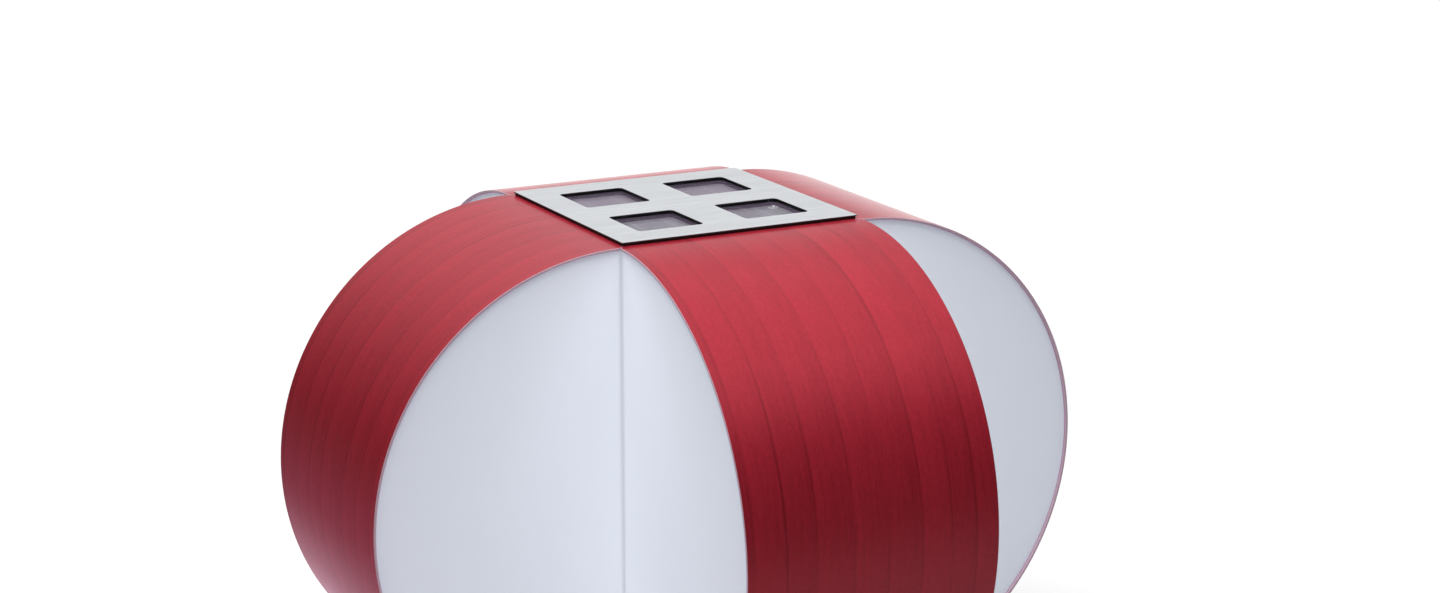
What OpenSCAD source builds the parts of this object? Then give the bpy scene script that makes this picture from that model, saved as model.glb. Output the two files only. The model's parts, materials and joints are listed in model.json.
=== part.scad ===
// Solar-charged floating lamp: four bent veneer bands run between two square steel plates, and
// four folded opal sheets close the spaces between them. Solar cells lie under the top plate.
// The light, the battery and the switch are in a sealed housing on the base plate.
// +Z is up, the origin is on the ground below the middle, and the front lobe points to -Y.

/* [Shade] */
// Width of each veneer band, which is also the side of the flat square where the bands meet
band_w = 102; // [96:1:124]
// Outer radius of the half-round that each band is bent to
lobe_r = 98; // [80:1:130]
// Thickness of the veneer
veneer_t = 1; // [0.6:0.1:1.4]
// Length of the flat end of a band that is clamped between a plate and a frame
tongue_l = 11; // [10:0.5:12]
// Thickness of the opal sheet
opal_t = 2; // [1:0.25:2.5]
// How far the face of the opal sheet lies in from the edge of the band
opal_inset = 1; // [0.5:0.25:2]
// Radius of the fold on the hollow side of the opal sheet
fold_r = 1.5; // [1:0.25:4]

/* [Plates and gaskets] */
// How far the edge of a plate lies in from the edges of the flat square
plate_inset = 1.5; // [0.5:0.25:3]
// Thickness of the steel top plate
top_plate_t = 0.6; // [0.4:0.1:1.5]
// Thickness of the steel base plate
plate_t = 1; // [0.8:0.1:1.5]
// Corner radius of the steel plates
plate_corner_r = 0.6; // [0.3:0.1:3]
// Thickness of the rubber gasket between the top plate and the bands
top_gasket_t = 0.9; // [0.5:0.1:1.4]
// Thickness of the rubber gasket between the base plate and the bands
gasket_t = 0.5; // [0.3:0.1:1]
// How far the edge of a gasket lies in from the edge of its plate
gasket_inset = 0.4; // [0.2:0.1:1]

/* [Solar module] */
// Width of the plate's bars between the four windows
win_bar = 17.8; // [14:0.1:24]
// Corner radius of the windows
win_corner_r = 2; // [1:0.25:4]
// How far the plate covers the edge of the glass
glass_cover = 1.8; // [1.8:0.05:4]
// Thickness of the glass
glass_t = 2; // [1.5:0.25:3]
// Air gap between the glass and the solar board
glass_gap = 1.6; // [1.4:0.1:2.5]
// Thickness of a solar cell
cell_t = 0.3; // [0.2:0.05:0.5]
// How far a solar cell reaches past its window on each side
cell_margin = 0.4; // [0.2:0.1:0.5]
// Width of the strip beside one cell that is left for the dusk sensor
sensor_strip = 6; // [5:0.5:12]
// How far the middle of the dusk sensor lies in from two edges of its window
sensor_edge = 1.6; // [1.6:0.1:3]
// Thickness of the circuit boards
board_t = 1.6; // [1:0.2:2]
// Width of the tinned tabs on the cells
tab_w = 2; // [1.5:0.25:3]
// Thickness of the tinned tabs on the cells
tab_t = 0.1; // [0.05:0.05:0.2]

/* [Frame] */
// Thickness of the flanges that the bands are clamped against
flange_t = 4; // [3.5:0.25:6]
// Wall of the solar tray
tray_wall = 1.5; // [1.2:0.1:2]
// Width of the ledge that carries the glass
glass_ledge = 1.3; // [1:0.1:1.5]
// Width of the ledge that carries the solar board
board_ledge = 3; // [2:0.5:5]
// Thickness of the ledge that carries the solar board
ledge_t = 2; // [1.5:0.5:3]
// How far the skirt that stiffens the tray hangs below its ledge
skirt_h = 8; // [4:1:14]
// Thickness of the ribs between a flange and the wall beside it
rib_t = 1.6; // [1.2:0.2:2.4]
// Distance of the ribs from the middle of a side
rib_c = 22; // [14:1:26]
// Diameter of the corner posts
post_d = 7; // [6:0.5:8]

/* [Base housing] */
// Height of the housing from the gasket to the top of its roof
housing_h = 29.5; // [28:0.5:45]
// Wall of the housing
housing_wall = 2; // [1.5:0.25:3]
// Thickness of the roof of the housing
roof_t = 2.5; // [2:0.25:4]
// Corner radius of the housing
housing_r = 4; // [3:0.5:6]
// Height of the ribs round the housing
rib_h = 14; // [8:1:18]
// Height of the rubber feet
foot_h = 3; // [2.6:0.2:8]
// Diameter of the rubber feet
foot_d = 12; // [8:1:16]
// Distance of the feet from the edges of the base plate
foot_inset = 10.5; // [8:0.5:14]
// Width of the sloped edge round the bottom of a foot
foot_edge = 1; // [0.4:0.2:2]

/* [Light] */
// Outer radius of the lens dome
lens_r = 24; // [22:0.5:26]
// Wall of the lens
lens_t = 1.5; // [1:0.25:2.5]
// Width of the flange round the lens dome
lens_flange_w = 6; // [5.5:0.25:7]
// Thickness of the flange round the lens dome
lens_flange_t = 2; // [1.5:0.25:3]
// Thickness of the flat seal under the lens
seal_t = 0.8; // [0.5:0.1:1.2]
// Radius of the round board that carries the lamps
led_board_r = 20; // [18:0.5:21]
// Number of lamps on the board
led_count = 6; // [4:1:8]
// Radius of the ring of lamps
led_ring_r = 11; // [9:0.5:12]
// Side of a lamp's square body
led_w = 3.5; // [2.5:0.5:4]

/* [Battery] */
// Diameter of a battery cell
aa_d = 14.2; // [13.8:0.1:14.5]
// Length of a battery cell with its stud
aa_l = 50.5; // [49.5:0.1:51]
// Distance between the axes of the two cells
aa_pitch = 16; // [15.6:0.1:17]
// Wall of the battery holder
holder_wall = 1.5; // [1:0.25:2]
// How far the holder reaches below the axes of the cells
holder_grip = 4; // [2:0.5:5]
// Room for a contact at each end of a cell
contact_room = 1.5; // [1.2:0.1:2]
// Thickness of the contact plates
contact_t = 0.4; // [0.3:0.1:0.6]

/* [Switch] */
// Diameter of the push button in the base
button_d = 12; // [10:0.5:14]
// How far the button moves when it is pressed
button_travel = 2; // [1:0.25:2.5]
// How far the button stands out of its bush
button_proud = 1; // [0.4:0.1:1.2]
// Width of the flange that keeps the button in its bush
button_lip = 1.4; // [1:0.1:1.5]
// Thickness of the flange that keeps the button in its bush
button_lip_t = 1.5; // [1:0.25:2]
// Wall of the button's bush
bush_wall = 1.5; // [1.4:0.1:2]
// Width of the bush's flange below the plate
bush_flange_w = 1.5; // [1:0.25:3]
// Thickness of the bush's flange below the plate
bush_flange_t = 1; // [0.8:0.1:1.2]
// Height of the nut that holds the bush
bush_nut_h = 2.5; // [2:0.5:4]
// Section diameter of the seal ring round the button
ring_d = 1.56; // [1.2:0.02:1.8]
// Width of the switch body
switch_w = 14; // [12:0.5:16]
// Height of the switch body below the control board
switch_h = 11; // [10.5:0.25:14]
// Diameter of the switch plunger
plunger_d = 6; // [5:0.25:7]
// Length of the plunger inside the switch body at rest
plunger_in = 4; // [3:0.25:4.5]
// Length of the plunger below the switch body at rest
plunger_out = 3.3; // [3:0.1:5]
// Mean diameter of the return spring
spring_d = 4.4; // [3.6:0.1:5]
// Diameter of the spring's wire
spring_wire = 0.6; // [0.4:0.05:0.65]
// Number of turns of the spring
spring_turns = 4; // [3:1:4]
// Least length of the spring, with the button pressed
spring_min = 3; // [3:0.25:4]

/* [Lead] */
// Diameter of the lead from the solar board to the control board
lead_d = 3; // [2:0.25:3.5]
// Radius of the lead's bends
lead_bend = 6; // [5:0.5:8]
// Distance from the middle of the lamp to where the lead leaves the solar board
lead_start = 30; // [24:1:36]
// Distance from the middle of the lamp to where the lead enters the housing
lead_end = 36; // [35:0.5:38]
// Drop from the tray's skirt to the level stretch of the lead
lead_drop = 4; // [3:1:12]
// Height of the lower level stretch of the lead over the housing's roof
lead_rise = 18; // [14:1:30]
// Number of clips that hold the lead to its post
clip_count = 3; // [2:1:5]
// Height of a clip
clip_h = 6; // [4:1:10]

/* [Fasteners] */
// Diameter of the larger screws and of the studs
screw_d = 3; // [2.5:0.5:3.5]
// Head diameter of the larger screws
head_d = 5.5; // [5:0.25:6]
// Head height of the larger screws
head_h = 2; // [1.5:0.25:2.5]
// Shank length of the post screws
post_screw_l = 10; // [8:1:12]
// Shank length of the base screws
base_screw_l = 8; // [7:0.5:9]
// Diameter of the smaller screws
small_screw_d = 2.5; // [2:0.25:3]
// Head diameter of the smaller screws
small_head_d = 4.5; // [4:0.25:5]
// Head height of the smaller screws
small_head_h = 1.6; // [1.2:0.2:2]
// Shank length of the smaller screws
small_screw_l = 6; // [5:0.5:6]
// Length of the studs under the top plate
stud_l = 10; // [9.5:0.5:12]
// Distance of the studs and base screws from the edges of the plates
stud_inset = 5.75; // [5.5:0.05:6]
// Diameter of the washers on the studs
washer_d = 7; // [6:0.25:7]
// Thickness of the washers on the studs
washer_t = 0.5; // [0.4:0.1:0.8]
// Width across the flats of the nuts on the studs
nut_w = 5.5; // [5:0.25:6]
// Height of the nuts on the studs
nut_h = 2.4; // [2:0.2:3]
// Diameter of the threaded inserts in the housing
insert_d = 4.4; // [4:0.1:4.8]
// Length of the threaded inserts in the housing
insert_l = 6; // [5:0.5:7]
// Wall round an insert or a screw hole in a boss
boss_wall = 1.4; // [1.2:0.1:1.6]

/* [Fits] */
// Gap for glue between a band and an opal sheet
glue_gap = 0.2; // [0.1:0.05:0.4]
// Gap between the mitred ends of two bands
mitre_gap = 0.2; // [0.1:0.05:0.5]
// Gap round sheets and boards in their seats
sheet_gap = 0.3; // [0.2:0.05:0.5]
// Radial gap of threads and pressed inserts
thread_gap = 0.05; // [0.02:0.01:0.1]
// Radial gap of clearance holes
hole_gap = 0.2; // [0.1:0.05:0.4]
// Radial gap of the sliding button, seal ring and plunger
slide_gap = 0.08; // [0.05:0.01:0.1]
// Gap between the button and its stop
stop_gap = 0.1; // [0.05:0.05:0.2]
// Gap between the edge of a board, post or boss and the wall beside it
wall_gap = 1; // [0.8:0.1:1.5]

/* [Hidden] */
$fn = 96;
// How far a cutting shape runs past the face that it cuts
past = 1;

// Plan sizes, as distances from the middle
flat_half = band_w / 2;
reach = flat_half + lobe_r;
plate_half = flat_half - plate_inset;
gasket_half = plate_half - gasket_inset;
opal_out = flat_half - opal_inset;
opal_in = opal_out - opal_t;
flange_half = opal_in - sheet_gap;
pad_half = flat_half - tongue_l - sheet_gap;
box_in = pad_half - housing_wall;
stud_u = plate_half - stud_inset;
foot_c = plate_half - foot_inset;
post_c = flange_half - post_d / 2 - wall_gap;
glass_half = pad_half - tray_wall - sheet_gap;
solar_half = glass_half - glass_ledge;
win_w = glass_half - glass_cover - win_bar / 2;
win_pitch = win_w + win_bar;
cell_w = win_w + 2 * cell_margin;
control_half = box_in - wall_gap;

// Heights
z_base_plate = foot_h;
z_base_gasket = z_base_plate + plate_t;
z_veneer_lo = z_base_gasket + gasket_t;
z_flange_lo = z_veneer_lo + veneer_t;
z_mid = z_veneer_lo + lobe_r;
z_veneer_hi = z_mid + lobe_r;
z_flange_hi = z_veneer_hi - veneer_t;
z_top_plate = z_veneer_hi + top_gasket_t;
z_glass = z_veneer_hi - glass_t;
z_cells = z_glass - glass_gap;
z_solar_board = z_cells - board_t;
z_tray = z_solar_board - ledge_t;
z_skirt = z_tray - skirt_h;
z_roof = z_veneer_lo + housing_h;
z_ceiling = z_roof - roof_t;
control_boss_h = 4;
z_control = z_ceiling - control_boss_h - board_t;
z_lens = z_roof + seal_t;
z_switch = z_control - switch_h;
z_button_top = z_switch - plunger_out;
z_bush_top = z_button_top - button_lip_t - stop_gap;
z_bush = z_base_plate - bush_flange_t;
z_button = z_bush - button_proud;

// Radius of the opal sheets' curved edges
sheet_r = lobe_r - veneer_t - glue_gap;

// Screws as shank radius, head radius and head height, and the radii of their holes
big_screw = [screw_d / 2, head_d / 2, head_h];
small_screw = [small_screw_d / 2, small_head_d / 2, small_head_h];
stud_hole_r = screw_d / 2 + hole_gap;
small_hole_r = small_screw_d / 2 + hole_gap;
head_hole_r = head_d / 2 + hole_gap;
thread_r = screw_d / 2 + thread_gap;
small_thread_r = small_screw_d / 2 + thread_gap;

// Base
lens_rim_r = lens_r + lens_flange_w;
lens_screw_r = lens_r + lens_flange_w / 2;
led_screw_r = led_board_r - small_head_d;
control_screw_c = box_in - small_hole_r - boss_wall - wall_gap;
wire_hole_r = 4;
wire_r = 0.6;
wire_c = 2;
insert_boss_r = insert_d / 2 + boss_wall;
insert_boss_h = base_screw_l + past + boss_wall - flange_t;
small_boss_r = small_thread_r + boss_wall;

// Battery
cradle_r = aa_d / 2 + sheet_gap;
holder_w = aa_pitch + 2 * (cradle_r + holder_wall);
holder_in = aa_l / 2 + contact_room;
holder_half = holder_in + holder_wall;
holder_y = control_half - holder_w / 2;
z_aa = z_control - holder_wall - cradle_r;
contact_w = 9;
aa_stud_r = 2.7;
aa_stud_h = 1.3;

// Switch, halfway between the battery holder and the housing's front wall
switch_y = (holder_y - holder_w / 2 - box_in) / 2;
bush_bore_r = button_d / 2;
bush_r = bush_bore_r + bush_wall;
button_r = bush_bore_r - slide_gap;
ring_mid_r = bush_bore_r - slide_gap / 2 - ring_d / 2;
ring_floor_r = ring_mid_r - ring_d / 2 - thread_gap;
ring_z = (z_bush + z_bush_top) / 2;
ring_slot_h = ring_d + 2 * sheet_gap;
button_edge = 0.6;
plunger_bore_r = plunger_d / 2 + slide_gap;
spring_rest = button_travel + spring_min;
z_plunger_top = z_switch + plunger_in;
spring_sides = 6;
spring_rings = 8;

// Lead, in the upright plane through the corner post at the back on the right
lead_r = lead_d / 2;
post_s = post_c * sqrt(2);
lead_s = post_s - post_d / 2 - lead_r - sheet_gap;
z_lead_hi = z_skirt - lead_drop;
z_lead_lo = z_roof + lead_rise;
grommet_r = lead_r + 2.2;
grommet_lip = 1.5;
clip_wall = 1.1;
lead_sides = 12;
lead_steps = 6;

// Solar module
sensor_body = [3.2, 2.8, 0.5];
sensor_dome_r = 0.7;
tab_lap = 3;

// Parts of a circuit on the control board: radius and height of the coil and the capacitor
coil_size = [5, 6];
capacitor_size = [3.2, 8];
chip_size = [6, 5, 1.6];
parts_x = 22;

// Shared shapes

// One copy at the middle of each side, at distance d
module at_sides(d) {
    for (a = [0:90:270]) rotate(a) translate([d, 0, 0]) children();
}

// One copy at each corner, at distance d along both axes
module at_corners(d) {
    for (a = [0:90:270]) rotate(a) translate([d, d, 0]) children();
}

module rounded_square(half, r) {
    square([2 * half, 2 * (half - r)], center = true);
    square([2 * (half - r), 2 * half], center = true);
    at_corners(half - r) circle(r);
}

module slab(z, half, r, t) {
    translate([0, 0, z]) linear_extrude(t) rounded_square(half, r);
}

// Upright hole or pin from z, of height h
module rod(z, r, h) {
    translate([0, 0, z]) cylinder(r = r, h = h);
}

// A pan-head screw with its shank up from z and its head below, or the other way up
module screw(size, l) {
    rod(-size[2], size[1], size[2]);
    cylinder(r = size[0], h = l);
}

// Outline of a lobe from distance "from" outwards: flat above and below, then a half circle
module lobe_outline(r, from) {
    intersection() {
        translate([flat_half, 0]) circle(r);
        translate([from, -r]) square([flat_half - from + r, 2 * r]);
    }
    translate([from, -r]) square([flat_half - from, 2 * r]);
}

// That outline as a bar of width w, for the lobe on the right
module lobe_bar(r, w, from) {
    translate([0, 0, z_mid]) rotate([90, 0, 0]) linear_extrude(w, center = true) lobe_outline(r, from);
}

// Everything past distance d along both axes, with its inner corner rounded
module corner_region(d, r) {
    translate([d, d + r]) square(reach);
    translate([d + r, d]) square(reach);
    translate([d + r, d + r]) circle(r);
}

// Two tapered ribs on each side, from the wall at pad_half out along a flange, and h tall
module ribs(h) {
    rib_w = flange_half - wall_gap - pad_half;
    at_sides(pad_half) for (side = [-1, 1]) translate([0, side * rib_c, 0]) rotate([90, 0, 0])
        linear_extrude(rib_t, center = true) polygon([[-past, 0], [rib_w, 0], [0, h], [-past, h]]);
}

// A closed tube through a list of rings of points
module tube(rings) {
    n = len(rings[0]);
    last = (len(rings) - 1) * n;
    walls = [
        for (i = [0:n:last - n]) for (k = [0:n - 1])
            let (a = i + k, b = i + (k + 1) % n)
            each [[a, a + n, b], [b, a + n, b + n]]
    ];
    ends = [for (k = [1:n - 2]) each [[0, k, k + 1], [last, last + k + 1, last + k]]];
    polyhedron([for (ring = rings) each ring], concat(walls, ends));
}

module windows(grow) {
    at_corners(win_pitch / 2) rounded_square(win_w / 2 + grow, win_corner_r + grow);
}

// Bands and opal sheets

module mitre_plan() {
    tip = mitre_gap / sqrt(2);
    polygon([[tip, 0], [tip + reach, reach], [tip + reach, -reach]]);
}

module band() {
    difference() {
        intersection() {
            lobe_bar(lobe_r, band_w, flat_half - tongue_l);
            linear_extrude(z_top_plate) mitre_plan();
        }
        lobe_bar(lobe_r - veneer_t, band_w + 2 * past, flat_half - tongue_l - past);
        translate([stud_u, 0, 0]) rod(0, stud_hole_r, z_top_plate);
    }
}

module opal_sheet() {
    intersection() {
        translate([0, 0, z_mid - sheet_r]) linear_extrude(2 * sheet_r) difference() {
            corner_region(opal_in, fold_r + opal_t);
            corner_region(opal_out, fold_r);
        }
        lobe_bar(sheet_r, 2 * reach, 0);
        rotate(90) lobe_bar(sheet_r, 2 * reach, 0);
    }
}

module veneer_right() { color("firebrick") band(); }
module veneer_back() { color("firebrick") rotate(90) band(); }
module veneer_left() { color("firebrick") rotate(180) band(); }
module veneer_front() { color("firebrick") rotate(270) band(); }

module diffuser_back_right() { color("whitesmoke") opal_sheet(); }
module diffuser_back_left() { color("whitesmoke") rotate(90) opal_sheet(); }
module diffuser_front_left() { color("whitesmoke") rotate(180) opal_sheet(); }
module diffuser_front_right() { color("whitesmoke") rotate(270) opal_sheet(); }

// Top plate and solar module

module top_plate() {
    color("lightgrey") translate([0, 0, z_top_plate]) linear_extrude(top_plate_t) difference() {
        rounded_square(plate_half, plate_corner_r);
        windows(0);
    }
}

module top_studs() {
    color("silver") at_sides(stud_u) rod(z_top_plate - stud_l, screw_d / 2, stud_l);
}

module top_gasket() {
    color("black") translate([0, 0, z_veneer_hi]) linear_extrude(top_gasket_t) difference() {
        rounded_square(gasket_half, plate_corner_r);
        windows(gasket_inset);
        at_sides(stud_u) circle(stud_hole_r);
    }
}

module solar_glass() {
    color("slategrey") slab(z_glass, glass_half, win_corner_r, glass_t);
}

// The cell below the front right window is shorter, for the sensor beside it
module solar_cells() {
    color("dimgrey") translate([0, 0, z_cells]) linear_extrude(cell_t) difference() {
        at_corners(win_pitch / 2) square(cell_w, center = true);
        translate([(win_pitch + cell_w) / 2 - sensor_strip, -win_pitch]) square(win_pitch);
    }
}

// A tab lies on the edge of each cell and steps down to the board in the gap between cells
module cell_tabs() {
    edge = (win_pitch - cell_w) / 2;
    color("gainsboro") for (a = [0:90:270]) rotate(a) {
        translate([edge - tab_w, win_pitch / 2 - tab_w / 2, z_cells + cell_t])
            cube([tab_lap + tab_w, tab_w, tab_t]);
        translate([edge - tab_w, win_pitch / 2 - tab_w / 2, z_cells])
            cube([tab_t, tab_w, cell_t + tab_t]);
        translate([edge - 2 * tab_w, win_pitch / 2 - tab_w / 2, z_cells])
            cube([tab_w + tab_t, tab_w, tab_t]);
    }
}

module dusk_sensor() {
    color("white") translate([(win_pitch + win_w) / 2 - sensor_edge, (win_w - win_pitch) / 2 - sensor_edge, z_cells]) {
        translate([-sensor_body[0] / 2, -sensor_body[1] / 2, 0]) cube(sensor_body);
        translate([0, 0, sensor_body[2]]) intersection() {
            sphere(sensor_dome_r);
            rod(0, sensor_dome_r + past, sensor_dome_r + past);
        }
    }
}

module solar_board() {
    color("darkslategrey") slab(z_solar_board, solar_half, win_corner_r / 2, board_t);
}

module top_frame() {
    glass_seat = glass_half + sheet_gap;
    board_seat = solar_half + sheet_gap;
    color("dimgray") difference() {
        union() {
            slab(z_flange_hi - flange_t, flange_half, win_corner_r, flange_t);
            slab(z_skirt, pad_half, win_corner_r, z_veneer_hi - z_skirt);
            translate([0, 0, z_flange_hi - flange_t]) mirror([0, 0, 1]) ribs(skirt_h);
        }
        slab(z_skirt - past, pad_half - tray_wall, win_corner_r / 2, skirt_h + past);
        slab(z_glass, glass_seat, win_corner_r, glass_t + past);
        slab(z_solar_board, board_seat, win_corner_r / 2, z_veneer_hi - z_solar_board);
        slab(z_tray - past, solar_half - board_ledge, win_corner_r, 2 * past + ledge_t);
        at_sides(stud_u) rod(z_flange_hi - flange_t - past, stud_hole_r, flange_t + 2 * past);
        at_corners(post_c) {
            rod(z_flange_hi - flange_t - past, stud_hole_r, flange_t + 2 * past);
            rod(z_flange_hi - head_h - hole_gap, head_hole_r, flange_t);
        }
    }
}

module stud_washers() {
    z = z_flange_hi - flange_t - washer_t;
    color("silver") at_sides(stud_u) difference() {
        rod(z, washer_d / 2, washer_t);
        rod(z - past, stud_hole_r, washer_t + 2 * past);
    }
}

module stud_nuts() {
    z = z_flange_hi - flange_t - washer_t - nut_h;
    color("silver") at_sides(stud_u) difference() {
        translate([0, 0, z]) cylinder(r = nut_w / sqrt(3), h = nut_h, $fn = 6);
        rod(z - past, thread_r, nut_h + 2 * past);
    }
}

// Corner posts and the lead

module corner_posts() {
    z = z_flange_lo + flange_t;
    h = z_flange_hi - flange_t - z;
    hole_l = post_screw_l + past;
    color("silver") at_corners(post_c) difference() {
        rod(z, post_d / 2, h);
        rod(z - past, thread_r, hole_l);
        rod(z + h + past - hole_l, thread_r, hole_l);
    }
}

module post_screws() {
    seat = head_h + hole_gap;
    color("dimgrey") at_corners(post_c) {
        translate([0, 0, z_flange_lo + seat]) screw(big_screw, post_screw_l);
        translate([0, 0, z_flange_hi - seat]) mirror([0, 0, 1]) screw(big_screw, post_screw_l);
    }
}

// One bend of the lead about c, from angle a to angle a2, as places and headings
function lead_turn(c, a, a2) = [
    for (i = [0:lead_steps])
        let (t = a + (a2 - a) * i / lead_steps)
        [c[0] + lead_bend * cos(t), c[1] + lead_bend * sin(t), t + 90 * sign(a2 - a)]
];

// A ring of the lead at a place and heading
function lead_ring(p) = [
    for (k = [0:lead_sides - 1])
        let (b = 360 * k / lead_sides)
        [p[0] - lead_r * cos(b) * sin(p[2]), lead_r * sin(b), p[1] + lead_r * cos(b) * cos(p[2])]
];

// Down from the solar board, out to the post, down the post, in again and down to the control board
module solar_lead() {
    route = concat(
        [[lead_start, z_solar_board, 270]],
        lead_turn([lead_start + lead_bend, z_lead_hi + lead_bend], 180, 270),
        lead_turn([lead_s - lead_bend, z_lead_hi - lead_bend], 90, 0),
        lead_turn([lead_s - lead_bend, z_lead_lo + lead_bend], 0, -90),
        lead_turn([lead_end + lead_bend, z_lead_lo - lead_bend], 90, 180),
        [[lead_end, z_control + board_t, 270]]
    );
    color("dimgrey") rotate(45) tube([for (p = route) lead_ring(p)]);
}

// Each clip snaps on the post from the middle side and holds the lead beside it
module lead_clips() {
    low = z_lead_lo + lead_bend;
    step = (z_lead_hi - lead_bend - low) / clip_count;
    color("white") rotate(45) for (i = [0:clip_count - 1])
        translate([0, 0, low + (i + 0.5) * step - clip_h / 2]) linear_extrude(clip_h) difference() {
            union() {
                translate([post_s, 0]) circle(post_d / 2 + clip_wall);
                translate([lead_s, 0]) circle(lead_r + clip_wall);
            }
            translate([post_s, 0]) circle(post_d / 2 + thread_gap);
            translate([lead_s, 0]) circle(lead_r + thread_gap);
            translate([post_s + post_d / 4, -post_d]) square(2 * post_d);
        }
}

module lead_grommet() {
    color("black") rotate(45) translate([lead_end, 0, z_ceiling]) rotate_extrude() polygon([
        [lead_r + thread_gap, -grommet_lip],
        [grommet_r + grommet_lip, -grommet_lip],
        [grommet_r + grommet_lip, 0],
        [grommet_r, 0],
        [grommet_r, roof_t],
        [grommet_r + grommet_lip, roof_t],
        [grommet_r, roof_t + grommet_lip],
        [lead_r + thread_gap, roof_t + grommet_lip]
    ]);
}

// Base housing

module housing_bosses() {
    lens_boss_h = small_screw_l - roof_t - seal_t - lens_flange_t + past;
    led_boss_h = small_screw_l - roof_t - board_t + past;
    at_corners(control_screw_c) rod(z_control + board_t, small_boss_r, control_boss_h);
    at_sides(lens_screw_r) rod(z_ceiling - lens_boss_h, small_boss_r, lens_boss_h);
    for (side = [-1, 1]) translate([side * led_screw_r, 0, 0])
        rod(z_ceiling - led_boss_h, small_boss_r, led_boss_h);
    at_sides(stud_u) {
        rod(z_flange_lo + flange_t, insert_boss_r, insert_boss_h);
        translate([pad_half - stud_u - past, -boss_wall, z_flange_lo + flange_t])
            cube([stud_u - pad_half + past, 2 * boss_wall, insert_boss_h]);
    }
}

module housing_holes() {
    control_hole = small_screw_l - board_t + hole_gap;
    lens_hole = small_screw_l - lens_flange_t - seal_t + hole_gap;
    led_hole = small_screw_l - board_t + hole_gap;
    rod(z_ceiling - past, wire_hole_r, roof_t + 2 * past);
    rotate(45) translate([lead_end, 0, 0]) rod(z_ceiling - past, grommet_r + thread_gap, roof_t + 2 * past);
    at_corners(control_screw_c) rod(z_control + board_t - past, small_thread_r, control_hole + past);
    at_sides(lens_screw_r) rod(z_roof - lens_hole, small_thread_r, lens_hole + past);
    for (side = [-1, 1]) translate([side * led_screw_r, 0, 0])
        rod(z_roof - led_hole, small_thread_r, led_hole + past);
    at_sides(stud_u) {
        rod(z_flange_lo - past, insert_d / 2 + thread_gap, insert_l + past);
        rod(z_flange_lo, thread_r, base_screw_l + past);
    }
    at_corners(post_c) {
        rod(z_flange_lo - past, stud_hole_r, flange_t + 2 * past);
        rod(z_flange_lo - past, head_hole_r, head_h + hole_gap + past);
    }
}

module base_housing() {
    color("white") difference() {
        union() {
            difference() {
                union() {
                    slab(z_flange_lo, flange_half, win_corner_r, flange_t);
                    slab(z_veneer_lo, pad_half, housing_r, housing_h);
                    translate([0, 0, z_flange_lo + flange_t]) ribs(rib_h);
                }
                slab(z_veneer_lo - past, box_in, housing_r - housing_wall / 2, housing_h - roof_t + past);
            }
            housing_bosses();
        }
        housing_holes();
    }
}

module base_inserts() {
    color("goldenrod") at_sides(stud_u) difference() {
        rod(z_flange_lo, insert_d / 2, insert_l);
        rod(z_flange_lo - past, thread_r, insert_l + 2 * past);
    }
}

// Light

module led_lens() {
    color("whitesmoke") translate([0, 0, z_lens]) difference() {
        union() {
            intersection() {
                difference() {
                    sphere(lens_r);
                    sphere(lens_r - lens_t);
                }
                rod(0, lens_r + past, lens_r + past);
            }
            difference() {
                rod(0, lens_rim_r, lens_flange_t);
                rod(-past, lens_r - lens_t / 2, lens_flange_t + 2 * past);
            }
        }
        at_sides(lens_screw_r) rod(-past, small_hole_r, lens_flange_t + 2 * past);
    }
}

module lens_seal() {
    color("black") translate([0, 0, z_roof]) linear_extrude(seal_t) difference() {
        circle(lens_rim_r);
        circle(lens_r - lens_t);
        at_sides(lens_screw_r) circle(small_hole_r);
    }
}

module led_board() {
    color("white") translate([0, 0, z_roof]) linear_extrude(board_t) difference() {
        circle(led_board_r);
        for (side = [-1, 1]) translate([side * led_screw_r, 0]) circle(small_hole_r);
    }
}

module leds() {
    step = 360 / led_count;
    body_h = led_w / 3;
    color("khaki") for (i = [0:led_count - 1]) rotate((i + 0.5) * step)
        translate([led_ring_r, 0, z_roof + board_t]) {
            translate([-led_w / 2, -led_w / 2, 0]) cube([led_w, led_w, body_h]);
            translate([0, 0, body_h]) intersection() {
                sphere(led_w / 3);
                rod(0, led_w, led_w);
            }
        }
}

module led_wires() {
    z = z_control + board_t;
    color("firebrick") for (side = [-1, 1]) translate([side * wire_c, 0, 0]) rod(z, wire_r, z_roof - z);
}

// The same screws hold the lens, the lamp board and the control board
module small_screws() {
    color("silver") {
        at_sides(lens_screw_r) translate([0, 0, z_lens + lens_flange_t])
            mirror([0, 0, 1]) screw(small_screw, small_screw_l);
        for (side = [-1, 1]) translate([side * led_screw_r, 0, z_roof + board_t])
            mirror([0, 0, 1]) screw(small_screw, small_screw_l);
        at_corners(control_screw_c) translate([0, 0, z_control]) screw(small_screw, small_screw_l);
    }
}

// Control board and battery

module control_board() {
    color("darkgreen") difference() {
        slab(z_control, control_half, housing_r - housing_wall / 2, board_t);
        at_corners(control_screw_c) rod(z_control - past, small_hole_r, board_t + 2 * past);
    }
}

module control_parts() {
    color("darkslategrey") {
        translate([parts_x, switch_y, 0]) rod(z_control - coil_size[1], coil_size[0], coil_size[1]);
        translate([-parts_x, switch_y + coil_size[0], 0])
            rod(z_control - capacitor_size[1], capacitor_size[0], capacitor_size[1]);
        translate([-parts_x - chip_size[0] / 2, switch_y - 2 * chip_size[1], z_control - chip_size[2]])
            cube(chip_size);
    }
}

// Both cells lie along X, and the holder grips them past their widest line
module at_cells() {
    for (side = [-1, 1]) translate([0, holder_y + side * aa_pitch / 2, z_aa]) rotate([0, side * 90, 0])
        children();
}

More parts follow.
